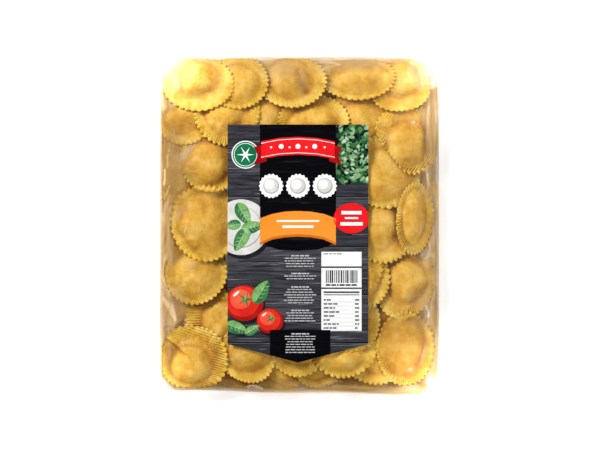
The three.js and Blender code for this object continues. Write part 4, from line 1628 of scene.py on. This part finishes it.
def lay_prints(rows):
    """Lays one colour after the other, each row a name, its layer, its ink and its outlines."""
    laid = [print_layer("print_" + name, layer, INKS[tone], outlines) for name, layer, tone, outlines in rows]
    print(len(laid), "colours,", sum(len(piece.data.polygons) for piece in laid), "faces")
    return laid


# %% [markdown]
# The background is boards of slate-grey wood, with a bunch of herbs in one corner and a black panel
# down the middle. The herbs are leaves strewn by chance, over a dark ground and in six sets, mostly
# from dark to pale, so that the bunch looks deep. Each board has its grain, a dark joint and a thin
# light edge.

# %% Strewn leaves and grain
PRINT_SEED = 7
print_rng = np.random.default_rng(PRINT_SEED)


def leaf_cluster(left, top, right, bottom, count, long):
    """Leaves strewn over an area."""
    leaves = []
    for _ in range(count):
        length = long * print_rng.uniform(0.7, 1.3)
        u, v = print_rng.uniform((left, top), (right, bottom))
        width = length * print_rng.uniform(0.4, 0.62)
        leaves.append(leaf(u, v, length, width, print_rng.uniform(0, 360)))
    return leaves


def across_card(top, bottom):
    return bar(-1, top, CARD_WIDTH + 1, bottom)


def grain(left, right, top, bottom, count, thick):
    """Thin, long streaks along the boards."""
    lines = []
    for _ in range(count):
        u, v = print_rng.uniform(left, right), print_rng.uniform(top, bottom)
        length = print_rng.uniform(8, 36)
        width = thick * print_rng.uniform(0.6, 1.3)
        lines.append(leaf(u, v, length, width, print_rng.uniform(-2, 2)))
    return lines


# %% Boards, herbs and panel
JOINTS = (21, 43, 64, 87, 109, 131, 152, 174, 195)
# The herbs' tones: ink, how many leaves and how long.
HERB_TONES = (("dark_leaf", 80, 10), ("herb_mid", 75, 7.5), ("board_gap", 46, 5), ("herb_light", 52, 5.2),
              ("pale_leaf", 18, 4.6), ("dark_leaf", 60, 3.2))
PANEL = [(29, 0), (97, 0), (97, 104), (90, 109), (80, 112), (63, 113), (46, 112), (36, 109), (29, 104)]
prints = lay_prints([
    ("boards", 1, "slate", [across_card(-1, CARD_TIP + 1)]),
    ("planks", 2, "plank", [across_card(a, b) for a, b in zip(JOINTS[::2], JOINTS[1::2])]),
    ("board_lights", 3, "board_light", grain(-5, CARD_WIDTH, 1, CARD_TIP - 4, 120, 0.55)),
    ("board_darks", 4, "board_gap", grain(-5, CARD_WIDTH, 1, CARD_TIP - 4, 90, 0.6)),
    ("board_joints", 5, "board_gap", [across_card(v, v + 0.9) for v in JOINTS]),
    ("board_edges", 5, "board_light", [across_card(v + 1.0, v + 1.3) for v in JOINTS]),
    ("herbs_ground", 6, "board_gap", leaf_cluster(100, -2, 128, 49, 90, 12)),
    *[(f"herbs_{layer}", layer, tone, leaf_cluster(99, -2, 128, 51, count, long))
      for layer, (tone, count, long) in enumerate(HERB_TONES, 7)],
    ("panel", 13, "panel", [PANEL, bar(38, 184, 92, CARD_TIP + 1)]),
    ("panel_grain", 14, "panel_grain", grain(44, 82, 2, 106, 42, 0.6)),
])

# %% [markdown]
# The banner is a ribbon with its ends folded back. Under it three fluted rounds stand for the pasta.
# An arched band, a plate, a roundel with a star and a seal with bars finish the upper half.

# %% Banner, rounds, roundel, plate, band and seal
RIBBON = [(30, 15), (46, 12), (63, 11), (80, 12), (96, 15)]
TAIL = [(23.5, 20), (35, 17.5), (35, 33), (23.5, 36), (27, 28)]
BANNER_DISCS = [(48, 19.6, 2.2), (63, 19.6, 2.2), (78, 19.6, 2.2),
                (39, 20.4, 0.9), (55.5, 20.4, 0.9), (70.5, 20.4, 0.9), (87, 20.4, 0.9)]
BAND_TOP = [(29, 84), (40, 80), (52, 78), (63, 77.5), (74, 78), (86, 80), (97, 84)]
BAND_LOW = [(97, 108), (86, 103), (74, 101), (63, 100.5), (52, 101), (40, 103), (29, 108)]
BAND_RISE = [(u, v - 2.2) for u, v in BAND_LOW]
PLATE_AT = (12, 92)
PLATE_SHADE_AT = (14, 95)
ROUNDEL_AT = (16, 27)
SEAL_AT = (111, 84)
ROUNDS = [(39, 55), (63, 55), (87, 55)]
prints += lay_prints([
    ("tails", 14, "red_fold", [TAIL, mirrored(TAIL)]),
    ("banner", 15, "red", [strip(RIBBON, 0, 16)]),
    ("banner_edges", 16, "white", [strip(RIBBON, 1.6, 2.1), strip(RIBBON, 14, 14.5),
                                   *[disc(*row) for row in BANNER_DISCS]]),
    ("rounds", 15, "white", [fluted(u, v, 10.5) for u, v in ROUNDS]),
    ("round_lines", 16, "cream_shade", [disc(u, v, 7.1) for u, v in ROUNDS]),
    ("round_tops", 17, "cream", [disc(u - 0.3, v - 0.4, 6.4) for u, v in ROUNDS]),
    ("round_lights", 18, "white", [disc(u - 1.3, v - 1.4, 4.2) for u, v in ROUNDS]),
    ("roundel_rim", 8, "white", [disc(*ROUNDEL_AT, 12.5)]),
    ("roundel", 9, "green", [disc(*ROUNDEL_AT, 11.6)]),
    ("roundel_star", 10, "white",
     [star(*ROUNDEL_AT, 8.0, 6, 0.22), ring(*ROUNDEL_AT, 10.4, 0.5)]),
    ("plate_shade", 6, "shade", [disc(*PLATE_SHADE_AT, 25.5)]),
    ("plate", 7, "cream", [disc(*PLATE_AT, 25)]),
    ("plate_rim", 8, "cream_shade", [disc(*PLATE_AT, 18.6)]),
    ("plate_well", 9, "cream", [disc(PLATE_AT[0] - 0.3, PLATE_AT[1] - 0.4, 18)]),
    ("band_edge", 15, "orange_dark", [BAND_TOP + BAND_LOW]),
    ("band", 16, "orange", [BAND_TOP + BAND_RISE]),
    ("band_bars", 17, "white", [bar(44, 85.6, 82, 87.2), bar(49, 90.4, 77, 92.6)]),
    ("seal", 16, "red", [disc(*SEAL_AT, 16, 0.85)]),
    ("seal_lines", 17, "white",
     [bar(102, 77.5, 120, 80.5), bar(105, 83, 117, 84.6), bar(101, 87.5, 121, 90.5)]),
])

# %% [markdown]
# A leaf is a dark shape with a lighter half and veins over it, and a tomato is three rounds from dark
# to light, shifted towards the light, with a small glint and its green star.

# %% Leaves and tomatoes
PLATE_LEAVES = [(14, 80, 22, 12, 60), (22, 92, 20, 11, -12), (12, 103, 23, 12, 118), (5, 90, 14, 9, 170),
                (17, 96, 10, 6, 40)]
FRUIT_LEAVES = [(30, 150, 24, 13, -58), (8, 182, 20, 11, 20), (22, 184, 15, 8, -30)]
FRUIT = [(15, 160, 17), (38, 176, 12)]


def leaf_rows(name, leaves, layer):
    """Three layers of leaves: the dark shapes, their lighter halves, and their veins."""
    return [(name + "_leaves", layer, "leaf", [leaf(*row) for row in leaves]),
            (name + "_halves", layer + 1, "light_leaf", [half_leaf(*row) for row in leaves]),
            (name + "_veins", layer + 2, "pale_leaf", [line for row in leaves for line in veins(*row)])]


def shifted_rounds(share, shift):
    return [disc(u - r * shift, v - r * shift, r * share, 0.94) for u, v, r in FRUIT]


prints += lay_prints([
    *leaf_rows("plate", PLATE_LEAVES, 10),
    *leaf_rows("fruit", FRUIT_LEAVES, 12),
    ("fruit_shade", 6, "shade", [disc(u + 1.5, v + 2.5, r * 1.02, 0.94) for u, v, r in FRUIT]),
    ("tomato_dark", 7, "tomato_dark", shifted_rounds(1, 0)),
    ("tomatoes", 8, "tomato", shifted_rounds(0.86, 0.08)),
    ("tomato_light", 9, "tomato_light", shifted_rounds(0.55, 0.2)),
    ("tomato_glint", 10, "white",
     [leaf(u - r * 0.42, v - r * 0.5, r * 0.42, r * 0.12, -40) for u, v, r in FRUIT]),
    ("tomato_star", 11, "leaf", [star(u + 1, v - r * 0.2, r * 0.48, 5, 0.26) for u, v, r in FRUIT]),
    ("tomato_stalk", 12, "light_leaf",
     [leaf(u + 1, v - r * 0.3, r * 0.3, r * 0.1, -70) for u, v, r in FRUIT]),
])

# %% [markdown]
# White boxes with stripes and ruled lines stand in for the small print. No bar is a letter: words are
# bars of uneven length, and the stripes have uneven widths.

# %% Stripes, and lines in place of text
WORD_GAP = 0.7
STRIPE_WIDTHS = [0.6, 0.6, 0.9, 1.3]
STRIPE_GAPS = [0.5, 0.7, 0.9]
BOX_LEFT, BOX_RIGHT = 84, 120
# Blocks of centred lines: the top of each and how many lines.
BLOCKS = ((117, 5), (133, 3), (145, 7), (166, 5), (187, 8))
BLOCKS_MIDDLE = 65
LINE_STEP = 2.4
HEADING, LINE = 1.1, 0.75
HALF_HEADING = 8
# The table in the lowest box: its first row, how many rows and how far apart.
TABLE_TOP, TABLE_ROWS, TABLE_STEP = 156.5, 8, 3.6


def word_line(left, right, v, height):
    """A line of short bars, as long as words are."""
    bars = []
    u = left
    while u < right - 1.5:
        word = min(print_rng.uniform(1.6, 5.0), right - u)
        bars.append(bar(u, v, u + word, v + height))
        u += word + WORD_GAP
    return bars


def stripes(left, top, right, bottom):
    """Upright stripes of uneven width."""
    bars = []
    u = left
    while u < right - 1.2:
        wide = print_rng.choice(STRIPE_WIDTHS)
        bars.append(bar(u, top, u + wide, bottom))
        u += wide + print_rng.choice(STRIPE_GAPS)
    return bars


def centred_lines():
    bars = []
    for top, rows in BLOCKS:
        for row in range(rows):
            half = print_rng.uniform(11, 15) if row else HALF_HEADING
            left, right = BLOCKS_MIDDLE - half, BLOCKS_MIDDLE + half
            bars += word_line(left, right, top + row * LINE_STEP, LINE if row else HEADING)
    return bars


def across_box(top, bottom, inset=0):
    return bar(BOX_LEFT + inset, top, BOX_RIGHT - inset, bottom)


# %% The boxes and the lines
table = [across_box(149.5, 151, 2), across_box(152.2, 153, 2)]
for row in range(TABLE_ROWS):
    v = TABLE_TOP + row * TABLE_STEP
    table.append(across_box(v + 2.4, v + 2.6, 2))
    table += word_line(BOX_LEFT + 2, BOX_LEFT + print_rng.uniform(9, 18), v, 1.3)
    table += word_line(BOX_RIGHT - 6, BOX_RIGHT - 2, v, 1.3)
black_bars = stripes(BOX_LEFT + 4, 130.5, BOX_RIGHT - 2, 142) + table
black_bars += word_line(BOX_LEFT + 4, BOX_RIGHT - 3, 143, 1.6)
black_bars += word_line(BOX_LEFT + 2, BOX_LEFT + 20, 115.5, 0.8)
prints += lay_prints([
    ("boxes", 7, "white", [across_box(114, 127), across_box(128.6, 146), across_box(147.4, 185)]),
    ("stripes", 8, "black", black_bars),
    ("lines", 15, "grey", centred_lines()),
])

# %% The card's own colour
paint(card, ink("white_card", (0.8, 0.8, 0.78), (0.86, 0.86, 0.84), 200))
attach(card, "root")
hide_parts("label")
print(len(prints), "colours on the card in all")
